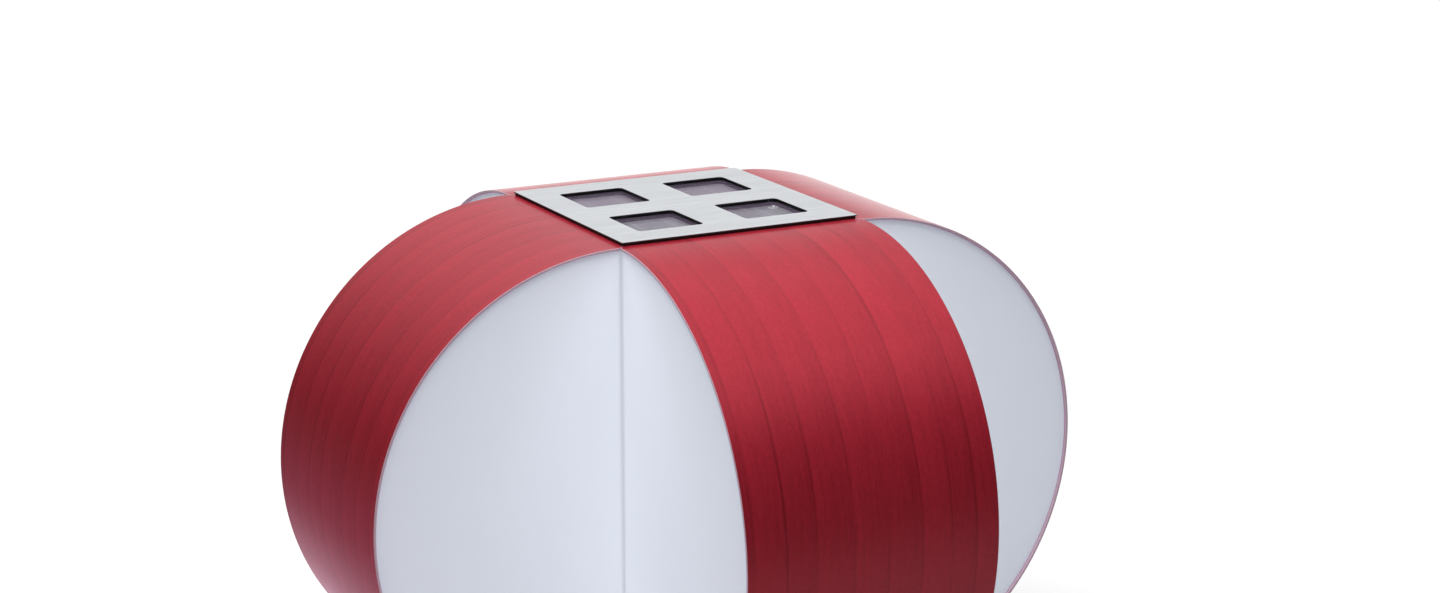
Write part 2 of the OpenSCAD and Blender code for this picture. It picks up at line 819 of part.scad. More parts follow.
module battery_holder() {
    color("black") difference() {
        translate([-holder_half, holder_y - holder_w / 2, z_aa - holder_grip])
            cube([2 * holder_half, holder_w, z_control - z_aa + holder_grip]);
        at_cells() rod(-holder_in, cradle_r, 2 * holder_in);
    }
}

// A flat contact with a dimple at the stud end, and one with a tapered spring at the other
module battery_contacts() {
    gap = contact_room - contact_t;
    color("silver") at_cells() {
        translate([-contact_w / 2, -contact_w / 2, holder_in - contact_t])
            cube([contact_w, contact_w, contact_t]);
        rod(aa_l / 2, aa_stud_r, gap);
        translate([-contact_w / 2, -contact_w / 2, -holder_in]) cube([contact_w, contact_w, contact_t]);
        translate([0, 0, -aa_l / 2 - gap]) cylinder(r1 = contact_w / 2, r2 = aa_stud_r, h = gap);
    }
}

module battery_cells() {
    body_l = aa_l - aa_stud_h;
    color("steelblue") at_cells() {
        rod(-aa_l / 2, aa_d / 2, body_l);
        rod(-aa_l / 2, aa_stud_r, aa_l);
    }
}

// Switch and button

module switch_body() {
    bore_l = plunger_in + spring_rest;
    color("black") translate([0, switch_y, 0]) difference() {
        translate([-switch_w / 2, -switch_w / 2, z_switch]) cube([switch_w, switch_w, switch_h]);
        rod(z_switch - past, plunger_bore_r, bore_l + past);
    }
}

// Middle of the spring's wire at share t of its length
function spring_mid(t) =
    let (a = 360 * spring_turns * t)
    let (z = z_plunger_top + thread_gap + spring_wire / 2)
    let (rise = spring_rest - 2 * thread_gap - spring_wire)
    [spring_d / 2 * cos(a), spring_d / 2 * sin(a), z + rise * t];

// A ring round the wire at share t of its length
function spring_ring(t) = [
    for (k = [0:spring_sides - 1])
        let (a = 360 * spring_turns * t, b = 360 * k / spring_sides, r = spring_wire / 2)
        spring_mid(t) + [r * cos(b) * cos(a), r * cos(b) * sin(a), r * sin(b)]
];

spring_last = spring_turns * spring_rings;
spring_gaps = [
    for (i = [0:spring_last - spring_rings])
        norm(spring_mid((i + spring_rings) / spring_last) - spring_mid(i / spring_last)) - spring_wire
];
echo(least_gap_between_turns_of_the_spring = min(spring_gaps));

module switch_spring() {
    rings = [for (i = [0:spring_last]) spring_ring(i / spring_last)];
    color("silver") translate([0, switch_y, 0]) tube(rings);
}

module switch_plunger() {
    color("white") translate([0, switch_y, 0])
        rod(z_button_top, plunger_d / 2, z_plunger_top - z_button_top);
}

module power_button() {
    z_lip = z_button_top - button_lip_t;
    color("black") translate([0, switch_y, 0]) rotate_extrude() polygon([
        [0, z_button],
        [button_r - button_edge, z_button],
        [button_r, z_button + button_edge],
        [button_r, ring_z - ring_slot_h / 2],
        [ring_floor_r, ring_z - ring_slot_h / 2],
        [ring_floor_r, ring_z + ring_slot_h / 2],
        [button_r, ring_z + ring_slot_h / 2],
        [button_r, z_lip],
        [button_r + button_lip, z_lip],
        [button_r + button_lip, z_button_top],
        [0, z_button_top]
    ]);
}

module button_seal() {
    color("dimgrey") translate([0, switch_y, ring_z]) rotate_extrude() translate([ring_mid_r, 0])
        circle(ring_d / 2);
}

module button_bush() {
    color("silver") translate([0, switch_y, 0]) difference() {
        union() {
            rod(z_bush, bush_r + bush_flange_w, bush_flange_t);
            rod(z_bush, bush_r, z_bush_top - z_bush);
        }
        rod(z_bush - past, bush_bore_r, z_bush_top - z_bush + 2 * past);
    }
}

module bush_nut() {
    z = z_base_plate + plate_t;
    color("silver") translate([0, switch_y, 0]) difference() {
        translate([0, 0, z]) cylinder(r = bush_r + 2 * bush_flange_w, h = bush_nut_h, $fn = 6);
        rod(z - past, bush_r + thread_gap, bush_nut_h + 2 * past);
    }
}

// Base plate

module base_gasket() {
    color("black") translate([0, 0, z_base_gasket]) linear_extrude(gasket_t) difference() {
        rounded_square(gasket_half, plate_corner_r);
        rounded_square(box_in - wall_gap, housing_r - housing_wall / 2);
        at_sides(stud_u) circle(stud_hole_r);
    }
}

module base_plate() {
    color("lightgrey") translate([0, 0, z_base_plate]) linear_extrude(plate_t) difference() {
        rounded_square(plate_half, plate_corner_r);
        at_sides(stud_u) circle(stud_hole_r);
        translate([0, switch_y]) circle(bush_r + thread_gap);
    }
}

module base_screws() {
    color("silver") at_sides(stud_u) translate([0, 0, z_base_plate]) screw(big_screw, base_screw_l);
}

module rubber_feet() {
    r = foot_d / 2;
    color("black") at_corners(foot_c) rotate_extrude()
        polygon([[0, 0], [r - foot_edge, 0], [r, foot_edge], [r, foot_h], [0, foot_h]]);
}

top_plate();
top_studs();
top_gasket();
solar_glass();
solar_cells();
cell_tabs();
dusk_sensor();
solar_board();
top_frame();
stud_washers();
stud_nuts();
veneer_front();
veneer_right();
veneer_back();
veneer_left();
diffuser_front_right();
diffuser_back_right();
diffuser_back_left();
diffuser_front_left();
corner_posts();
post_screws();
solar_lead();
lead_clips();
lead_grommet();
base_housing();
base_inserts();
led_lens();
lens_seal();
led_board();
leds();
led_wires();
small_screws();
control_board();
control_parts();
battery_holder();
battery_contacts();
battery_cells();
switch_body();
switch_spring();
switch_plunger();
power_button();
button_seal();
button_bush();
bush_nut();
base_gasket();
base_plate();
base_screws();
rubber_feet();
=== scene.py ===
"""Looks of a floating solar lamp with bent veneer bands, folded opal sheets and a solar plate."""

import json
import logging
import math
from collections.abc import Iterable
from dataclasses import dataclass
from enum import Enum
from typing import Any

import bpy
import numpy as np
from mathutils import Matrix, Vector


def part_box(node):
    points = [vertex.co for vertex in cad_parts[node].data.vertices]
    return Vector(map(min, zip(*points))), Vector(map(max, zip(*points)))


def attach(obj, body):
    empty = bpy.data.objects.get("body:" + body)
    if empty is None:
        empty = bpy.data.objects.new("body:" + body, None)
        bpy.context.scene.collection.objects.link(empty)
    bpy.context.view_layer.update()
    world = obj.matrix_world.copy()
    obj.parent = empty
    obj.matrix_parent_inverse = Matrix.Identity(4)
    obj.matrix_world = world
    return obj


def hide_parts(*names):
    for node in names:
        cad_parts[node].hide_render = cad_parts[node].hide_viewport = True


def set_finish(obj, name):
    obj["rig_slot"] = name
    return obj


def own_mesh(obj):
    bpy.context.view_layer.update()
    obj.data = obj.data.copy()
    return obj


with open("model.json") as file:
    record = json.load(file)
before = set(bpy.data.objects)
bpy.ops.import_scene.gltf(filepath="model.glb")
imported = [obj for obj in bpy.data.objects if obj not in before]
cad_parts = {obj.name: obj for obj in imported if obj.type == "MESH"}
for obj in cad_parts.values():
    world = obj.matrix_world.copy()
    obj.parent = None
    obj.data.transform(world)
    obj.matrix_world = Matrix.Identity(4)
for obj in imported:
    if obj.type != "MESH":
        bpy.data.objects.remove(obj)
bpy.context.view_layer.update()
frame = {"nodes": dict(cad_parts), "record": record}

LOG = logging.getLogger("floating_lamp")

# Lengths are in metres. Points closer than the weld become one.
MM = 0.001
WELD = 2e-7
TURN = 2 * np.pi
QUARTER = np.pi / 2
RIGHT_DEG = 90
BAND_MAP = "surface"

Array = np.ndarray
Piece = bpy.types.Object
Material = bpy.types.Material
Socket = bpy.types.NodeSocket
Sockets = bpy.types.bpy_prop_collection
Triple = tuple[float, float, float]
Colour = Triple
# Points and quads.
Shell = tuple[Array, Array]
# A low and a high value, and what each becomes.
Ramp = tuple[float, float, float, float]


class Body(Enum):
    """The two bodies that pieces ride on."""

    LAMP = "lamp"
    BUTTON = "button"


class Side(Enum):
    """The four lobes, as the turn in degrees from the lobe on the right."""

    RIGHT = 0
    BACK = 90
    LEFT = 180
    FRONT = 270


class Corner(Enum):
    """The four folded sheets, as the turn in degrees from the one at the back on the right."""

    BACK_RIGHT = 0
    BACK_LEFT = 90
    FRONT_LEFT = 180
    FRONT_RIGHT = 270


# Shared surface maths


def around(steps: int) -> Array:
    """Angles round a full turn as one row, without the last, which is the first again."""
    return np.linspace(0, TURN, steps, endpoint=False)[None, :]


def grid_quads(rows: int, cols: int, closed: bool = False) -> Array:
    """Quads of a grid of points in row order.

    Args:
        rows: Number of rows.
        cols: Number of points in a row.
        closed: True where the last column joins the first.

    Returns:
        One row of four point numbers for each quad.
    """
    r = np.arange(rows - 1)[:, None] * cols
    c = np.arange(cols if closed else cols - 1)[None, :]
    n = (c + 1) % cols
    return np.stack([r + c, r + n, r + cols + n, r + cols + c], -1).reshape(-1, 4)


def joined(shells: Iterable[Shell]) -> Shell:
    """Several shells as one: the point numbers of each move on by the points before it.

    Args:
        shells: The shells, in order.

    Returns:
        All the points and all the quads.
    """
    points, quads = zip(*shells)
    starts = np.cumsum([0, *map(len, points)])
    return np.concatenate(points), np.concatenate([q + start for q, start in zip(quads, starts)])


def set_out(shell: Shell, ways: Iterable[tuple[int, int]], reach: float, rise: float) -> Shell:
    """A form repeated at (reach x, reach y, rise) for each direction (x, y).

    Args:
        shell: The form.
        ways: The directions.
        reach: How far along a direction a copy stands.
        rise: How high it stands.

    Returns:
        All the copies as one.
    """
    points, quads = shell
    return joined((points + np.array([reach * x, reach * y, rise]), quads) for x, y in ways)


def raised(plan: Array, z: Any) -> Array:
    """Puts heights to rows, or a grid, of (x, y).

    Args:
        plan: The rows or the grid.
        z: A height, or heights that spread over the grid.

    Returns:
        Rows of x, y and z.
    """
    return np.concatenate([plan, np.broadcast_to(z, (*plan.shape[:-1], 1))], -1).reshape(-1, 3)


def turned(points: Array, degrees: float) -> Array:
    """Points turned about the upright axis: x' = x cos a - y sin a, y' = x sin a + y cos a.

    Args:
        points: Rows of x, y and z.
        degrees: The angle a, a number of right angles, whose sine and cosine are whole.

    Returns:
        The turned points.
    """
    a = math.radians(degrees)
    c, s = round(math.cos(a)), round(math.sin(a))
    return points @ np.array([[c, s, 0.0], [-s, c, 0.0], [0.0, 0.0, 1.0]])


def welded(points: Array, quads: Array) -> tuple[Array, Array, Array]:
    """Points that coincide become one, and quads that lose all area are dropped.

    Args:
        points: Rows of x, y and z.
        quads: Rows of four point numbers.

    Returns:
        The points that are left, the quads, and each kept point's old number.
    """
    key = np.round(points / WELD).astype(np.int64)
    _, first, inverse = np.unique(key, axis=0, return_index=True, return_inverse=True)
    quads = inverse.reshape(-1)[quads]
    kinds = 1 + (np.diff(np.sort(quads, 1), axis=1) > 0).sum(1)
    return points[first], quads[kinds >= 3], first


def outward(points: Array, quads: Array) -> Array:
    """Turns a closed shell so that the volume under it, the sum of a . (b x c) / 6, is positive.

    Args:
        points: Rows of x, y and z.
        quads: Rows of four point numbers.

    Returns:
        The quads, looking outwards.
    """
    a, b, c, d = (points[quads[:, k]] for k in range(4))
    volume = (a * np.cross(b, c)).sum() + (a * np.cross(c, d)).sum()
    return quads if volume > 0 else quads[:, ::-1]


def turned_profile(profile: Array, steps: int) -> Shell:
    """A surface of revolution: (r, z) becomes (r cos a, r sin a, z) for a from 0 to a full turn.

    Args:
        profile: Rows of radius and height, from the axis round to the axis or to the first row.
        steps: Number of points round the axis.

    Returns:
        The surface.
    """
    a = around(steps)
    r, z = profile[:, :1], profile[:, 1:]
    points = np.stack([r * np.cos(a), r * np.sin(a), z + 0 * a], -1).reshape(-1, 3)
    return points, grid_quads(len(profile), steps, closed=True)


def eased(corners: Array, radius: float, steps: int = 4, most: float = 0.45) -> Array:
    """An open outline with its inner corners bent along p(t) = (1-t)^2 a + 2t(1-t) c + t^2 b.

    Args:
        corners: Rows of two coordinates, the first and last kept as they are.
        radius: How far a bend reaches from its corner c, to a on one side and b on the other.
        steps: Points on a bend.
        most: The largest share of a side that a bend takes.

    Returns:
        The outline with its bends.
    """
    t = np.linspace(0, 1, steps)[None, :, None]
    c = corners[1:-1, None]
    to_a, to_b = corners[:-2, None] - c, corners[2:, None] - c
    len_a, len_b = (np.linalg.norm(v, axis=-1, keepdims=True) for v in (to_a, to_b))
    a = c + to_a / len_a * np.minimum(radius, len_a * most)
    b = c + to_b / len_b * np.minimum(radius, len_b * most)
    bends = (1 - t) ** 2 * a + 2 * t * (1 - t) * c + t**2 * b
    return np.concatenate([corners[:1], bends.reshape(-1, 2), corners[-1:]])


def placed(name: str, data: bpy.types.ID) -> bpy.types.Object:
    """A new object in the scene, at the origin.

    Args:
        name: The object's name.
        data: Its mesh, light or camera.

    Returns:
        The object.
    """
    thing = bpy.data.objects.new(name, data)
    bpy.context.scene.collection.objects.link(thing)
    return thing


def make_piece(
    name: str,
    shell: Shell,
    body: Body,
    slot: str,
    node: str,
    uv: Array | None = None,
    values: dict[str, Array] | None = None,
    sharp_deg: float = 40.0,
) -> Piece:
    """Puts a closed surface into the scene as a piece that rides on a body.

    Args:
        name: The piece's name.
        shell: Its points in metres, and its quads.
        body: The body that carries it.
        slot: The record's material slot.
        node: The CAD node that it stands for.
        uv: Two lengths in metres for each point, for patterns that follow the surface.
        values: Named numbers for each point.
        sharp_deg: Edges that turn by more than this are shown sharp.

    Returns:
        The piece.
    """
    points, quads, first = welded(*shell)
    quads = outward(points, quads)
    same = quads == np.roll(quads, -1, 1)
    whole = quads[~same.any(1)]
    corners = [np.delete(quads[same[:, k] & (same.argmax(1) == k)], k, 1) for k in range(4)]
    mesh = bpy.data.meshes.new(name)
    mesh.from_pydata(points.tolist(), [], [*whole.tolist(), *np.concatenate(corners).tolist()])
    mesh.polygons.foreach_set("use_smooth", np.ones(len(mesh.polygons), bool))
    mesh.update()
    mesh.set_sharp_from_angle(angle=math.radians(sharp_deg))
    if uv is not None:
        at = np.empty(len(mesh.loops), np.int32)
        mesh.loops.foreach_get("vertex_index", at)
        mesh.uv_layers.new(name=BAND_MAP).data.foreach_set("uv", uv[first][at].astype(np.float32).ravel())
    for key, numbers in (values or {}).items():
        attribute = mesh.attributes.new(key, "FLOAT", "POINT")
        attribute.data.foreach_set("value", numbers[first].astype(np.float32))
    piece = placed(name, mesh)
    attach(piece, body.value)
    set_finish(piece, slot)
    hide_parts(node)
    return piece


# Shader building


class Net:
    """Adds nodes to a tree and joins them."""

    def __init__(self, tree: bpy.types.NodeTree) -> None:
        """Takes the tree to add to."""
        self.tree = tree

    def feed(self, node: bpy.types.Node, inputs: dict[Any, Any]) -> None:
        """Joins a node's inputs to other sockets, or sets their numbers, vectors and colours.

        Args:
            node: The node.
            inputs: A socket or a value for each input, by name or number.
        """
        for key, value in inputs.items():
            socket = node.inputs[key]
            if isinstance(value, Socket):
                self.tree.links.new(value, socket)
            elif socket.type == "RGBA":
                socket.default_value = (*value, 1.0)
            else:
                socket.default_value = value

    def add(self, kind: str, inputs: dict[Any, Any] | None = None, **settings: Any) -> Sockets:
        """Adds a node.

        Args:
            kind: The node's type without its first words.
            inputs: What its inputs are fed, by name or number.
            settings: The node's own options.

        Returns:
            The node's outputs.
        """
        node = self.tree.nodes.new("ShaderNode" + kind)
        for key, value in settings.items():
            setattr(node, key, value)
        self.feed(node, inputs or {})
        return node.outputs

    def maths(self, operation: str, *values: Any, clamp: bool = False) -> Socket:
        """The result of a Math node over one to three values."""
        return self.add("Math", dict(enumerate(values)), operation=operation, use_clamp=clamp)[0]

    def summed(self, start: Any, parts: Iterable[tuple[Socket, float]]) -> Socket:
        """A start plus each part times its weight.

        Args:
            start: A number or a socket.
            parts: Sockets with their weights.

        Returns:
            The sum.
        """
        for part, weight in parts:
            start = self.maths("MULTIPLY_ADD", part, weight, start)
        return start

    def centred(self, noise: Socket) -> Socket:
        """A noise from 0 to 1, moved to lie about 0."""
        return self.maths("SUBTRACT", noise, 0.5)

    def ranged(self, value: Any, ramp: Ramp) -> Socket:
        """A value carried smoothly along a ramp, and kept inside it."""
        names = ("Value", "From Min", "From Max", "To Min", "To Max")
        return self.add("MapRange", dict(zip(names, (value, *ramp))), interpolation_type="SMOOTHSTEP")[0]

    def mixed(self, share: Any, a: Any, b: Any) -> Socket:
        """Two colours mixed by a share."""
        return self.add("Mix", {0: share, 6: a, 7: b}, data_type="RGBA")[2]

    def noise(self, vector: Any, scale: Any, detail: float) -> Socket:
        """Fractal noise, from 0 to 1."""
        return self.add("TexNoise", {"Vector": vector, "Scale": scale, "Detail": detail})[0]

    def stretched(self, vector: Any, scale: Triple) -> Socket:
        """A vector with each axis scaled."""
        return self.add("Mapping", {"Vector": vector, "Scale": scale})[0]

    def scaled(self, vector: Any, share: Any) -> Socket:
        """A vector or a colour times a number."""
        return self.add("VectorMath", {0: vector, "Scale": share}, operation="SCALE")[0]

    def along(self, vector: Any, way: Triple) -> Socket:
        """How far a vector reaches along a direction."""
        return self.add("VectorMath", {0: vector, 1: way}, operation="DOT_PRODUCT")["Value"]

    def axes(self, vector: Any) -> Sockets:
        """A vector's X, Y and Z."""
        return self.add("SeparateXYZ", {"Vector": vector})

    def place(self) -> Socket:
        """Object coordinates, in metres."""
        return self.add("TexCoord")["Object"]


SURFACE_IN = {"Vector": "Vector", "Color": "Color", "Spread": "Float", "Roughness": "Float", "Rub": "Float"}
SURFACE_OUT = {"Color": "Color", "Roughness": "Float", "Height": "Float"}


def new_group(
    name: str, inputs: dict[str, str], outputs: dict[str, str]
) -> tuple[Net, Sockets, bpy.types.Node]:
    """Starts a shader node group.

    Args:
        name: The group's name.
        inputs: Kind of socket by name, of Float, Color or Vector.
        outputs: The same for what it puts out.

    Returns:
        Its net, its inputs by name, and its output node.
    """
    tree = bpy.data.node_groups.new(name, "ShaderNodeTree")
    for in_out, sockets in (("INPUT", inputs), ("OUTPUT", outputs)):
        for key, kind in sockets.items():
            tree.interface.new_socket(name=key, in_out=in_out, socket_type="NodeSocket" + kind)
    return Net(tree), tree.nodes.new("NodeGroupInput").outputs, tree.nodes.new("NodeGroupOutput")


@dataclass(frozen=True)
class Mottle:
    """Moulded or rubbed surfaces: the colour wanders by a share, the roughness by an amount.

    Fields give the broad noise's share of the scale, the weights of broad and fine noise in the colour, their
    detail, and how strongly the colour and the roughness follow.
    """

    broad_scale: float = 0.08
    broad: float = 0.7
    fine: float = 0.3
    broad_detail: float = 2.0
    fine_detail: float = 3.0
    colour_gain: float = 4.0
    rub_gain: float = 2.0

    def make(self) -> bpy.types.NodeTree:
        """Builds the group, whose height is the fine noise.

        Returns:
            The group.
        """
        net, given, end = new_group("fine_mottle", SURFACE_IN | {"Scale": "Float"}, SURFACE_OUT)
        broad_scale = net.maths("MULTIPLY", given["Scale"], self.broad_scale)
        broad = net.noise(given["Vector"], broad_scale, self.broad_detail)
        fine = net.noise(given["Vector"], given["Scale"], self.fine_detail)
        wander = net.centred(net.summed(0.0, ((broad, self.broad), (fine, self.fine))))
        gain = net.maths("MULTIPLY", given["Spread"], self.colour_gain)
        rub = net.maths("MULTIPLY", net.centred(broad), given["Rub"])
        net.feed(end, {
            "Color": net.scaled(given["Color"], net.maths("MULTIPLY_ADD", wander, gain, 1.0)),
            "Roughness": net.maths("MULTIPLY_ADD", rub, self.rub_gain, given["Roughness"], clamp=True),
            "Height": fine,
        })
        return net.tree


@dataclass(frozen=True)
class Brush:
    """Brushed or drawn metal: two layers of noise, on a vector that is stretched along the brushing.

    Fields give each layer's weight and detail, and the coarse one's share of the scale.
    """

    fine: float = 0.6
    coarse: float = 0.4
    fine_detail: float = 4.0
    coarse_detail: float = 2.0
    coarse_scale: float = 0.13

    def make(self) -> bpy.types.NodeTree:
        """Builds the group, whose tone, roughness and height follow the same lines.

        Returns:
            The group.
        """
        net, given, end = new_group("brushed_lines", SURFACE_IN, SURFACE_OUT)
        fine = net.noise(given["Vector"], 1.0, self.fine_detail)
        coarse = net.noise(given["Vector"], self.coarse_scale, self.coarse_detail)
        lines = net.summed(0.0, ((fine, self.fine), (coarse, self.coarse)))
        tone = net.centred(lines)
        net.feed(end, {
            "Color": net.scaled(given["Color"], net.maths("MULTIPLY_ADD", tone, given["Spread"], 1.0)),
            "Roughness": net.maths("MULTIPLY_ADD", tone, given["Rub"], given["Roughness"], clamp=True),
            "Height": lines,
        })
        return net.tree


def line_group() -> bpy.types.NodeTree:
    """Printed lines across a coordinate.

    The mask is 1 where the distance to the nearest multiple of the pitch is under half the width.

    Returns:
        The group.
    """
    inputs = {"Coordinate": "Float", "Pitch": "Float", "Width": "Float"}
    net, given, end = new_group("printed_lines", inputs, {"Mask": "Float"})
    turns = net.maths("DIVIDE", given["Coordinate"], given["Pitch"])
    off = net.maths("ABSOLUTE", net.centred(net.maths("FRACT", turns)))
    half = net.maths("DIVIDE", given["Width"], net.maths("MULTIPLY", given["Pitch"], 2.0))
    net.feed(end, {"Mask": net.maths("GREATER_THAN", off, net.maths("SUBTRACT", 0.5, half))})
    return net.tree


class Groups:
    """The shared shader groups, each built once."""

    def __init__(self) -> None:
        """Builds every group."""
        self.mottle = Mottle().make()
        self.brush = Brush().make()
        self.lines = line_group()


@dataclass(frozen=True)
class Grain:
    """How a mottled surface wanders: its colour's spread, its grains to the metre, its roughness and rub."""

    spread: float
    scale: float
    roughness: float
    rub: float


@dataclass(frozen=True)
class Lines:
    """Printed lines, by their pitch and their width."""

    pitch: float
    width: float


@dataclass(frozen=True)
class Streaks:
    """Noise by its waves to the metre across and along a surface, its detail, and its weight in a tone."""

    across: float
    along: float
    detail: float = 2.0
    weight: float = 0.0

    def on(self, net: Net, place: Socket) -> Socket:
        """The noise over a place, from 0 to 1."""
        return net.noise(net.stretched(place, (self.across, self.along, 1.0)), 1.0, self.detail)


class Skin(Net):
    """A material with one Principled shader, and the shared groups that it draws on."""

    def __init__(self, name: str, groups: Groups) -> None:
        """Makes the material.

        Args:
            name: The material's name.
            groups: The shared groups.
        """
        self.material = bpy.data.materials.new(name)
        self.material.use_nodes = True
        self.groups = groups
        super().__init__(self.material.node_tree)

    def value(self, name: str) -> Socket:
        """A named number of the mesh."""
        return self.add("Attribute", attribute_name=name)["Fac"]

    def mottled(self, colour: Any, grain: Grain) -> Sockets:
        """Mottles a colour over object coordinates.

        Args:
            colour: The mean colour.
            grain: How it wanders.

        Returns:
            Color, Roughness and Height.
        """
        return self.add("Group", {
            "Vector": self.place(), "Color": colour, "Spread": grain.spread, "Scale": grain.scale,
            "Roughness": grain.roughness, "Rub": grain.rub,
        }, node_tree=self.groups.mottle)

    def printed(self, coordinate: Socket, lines: Lines) -> Socket:
        """The mask of printed lines across a coordinate."""
        inputs = {"Coordinate": coordinate, "Pitch": lines.pitch, "Width": lines.width}
        return self.add("Group", inputs, node_tree=self.groups.lines)[0]

    def shade(self, inputs: dict[str, Any], height: Any = None, depth: float = 0.0) -> None:
        """Feeds the shader.

        Args:
            inputs: Sockets and constants for its inputs.
            height: The height of the surface's relief, where it has one.
            depth: How deep the relief is.
        """
        shader = self.tree.nodes["Principled BSDF"]
        self.feed(shader, inputs)
        if height is not None:
            relief = self.add("Bump", {"Height": height, "Distance": depth, "Strength": 1.0})
            self.feed(shader, {"Normal": relief[0]})


# Finishes


@dataclass(frozen=True)
class Finish:
    """What every finish does: it makes its material."""

    name: str

    def make(self, groups: Groups) -> Material:
        """Makes the material.

        Args:
            groups: The shared shader groups.

        Returns:
            The material.
        """
        skin = Skin(self.name, groups)
        self.paint(skin)
        return skin.material

    def paint(self, skin: Skin) -> None:
        """Joins the material's nodes, in each finish's own way."""
        raise NotImplementedError


@dataclass(frozen=True)
class Moulded(Finish):
    """Plastic, rubber, lacquer or paint with fine grain.

    Fields give the colour, the grain and its depth, and the weight of a clear coat.
    """

    colour: Colour
    grain: Grain
    depth: float = 0.02 * MM
    coat: float = 0.0

    def paint(self, skin: Skin) -> None:
        """Mottles the colour, with the grain as relief.

        Args:
            skin: The material to paint.
        """
        face = skin.mottled(self.colour, self.grain)
        inputs = {"Base Color": face["Color"], "Roughness": face["Roughness"], "Coat Weight": self.coat}
        skin.shade(inputs, face["Height"], self.depth)


@dataclass(frozen=True)
class Metal(Finish):
    """Brushed, drawn or plated metal.

    Fields give the colour, stretch of the brushing along each axis, spread of tone, roughness and its spread,
    depth of the lines, how metallic it is under a satin lacquer, and, where the mesh has the value named by
    cut, the near-black painted shade on its cut edges and how much rougher they are.
    """

    colour: Colour
    stretch: Triple
    spread: float
    roughness: float
    rub: float = 0.25
    depth: float = 0.004 * MM
    metallic: float = 1.0
    cut: str = ""
    # painted shade: near-black on the cut edges, for an edge in shadow
    cut_shade_colour: Colour = (0.09, 0.085, 0.085)
    cut_rub: float = 0.25

    def paint(self, skin: Skin) -> None:
        """Brushes the colour, paints a near-black shade on the cut edges, and roughens them.

        Args:
            skin: The material to paint.
        """
        lines = skin.add("Group", {
            "Vector": skin.stretched(skin.place(), self.stretch), "Color": self.colour, "Spread": self.spread,
            "Roughness": self.roughness, "Rub": self.rub,
        }, node_tree=skin.groups.brush)
        colour, rough = lines["Color"], lines["Roughness"]
        if self.cut:
            # painted shade on the cut edges
            edge = skin.value(self.cut)
            colour = skin.mixed(edge, colour, self.cut_shade_colour)
            rough = skin.maths("MULTIPLY_ADD", edge, self.cut_rub, rough, clamp=True)
        inputs = {"Base Color": colour, "Roughness": rough, "Metallic": self.metallic}
        skin.shade(inputs, lines["Height"], self.depth)


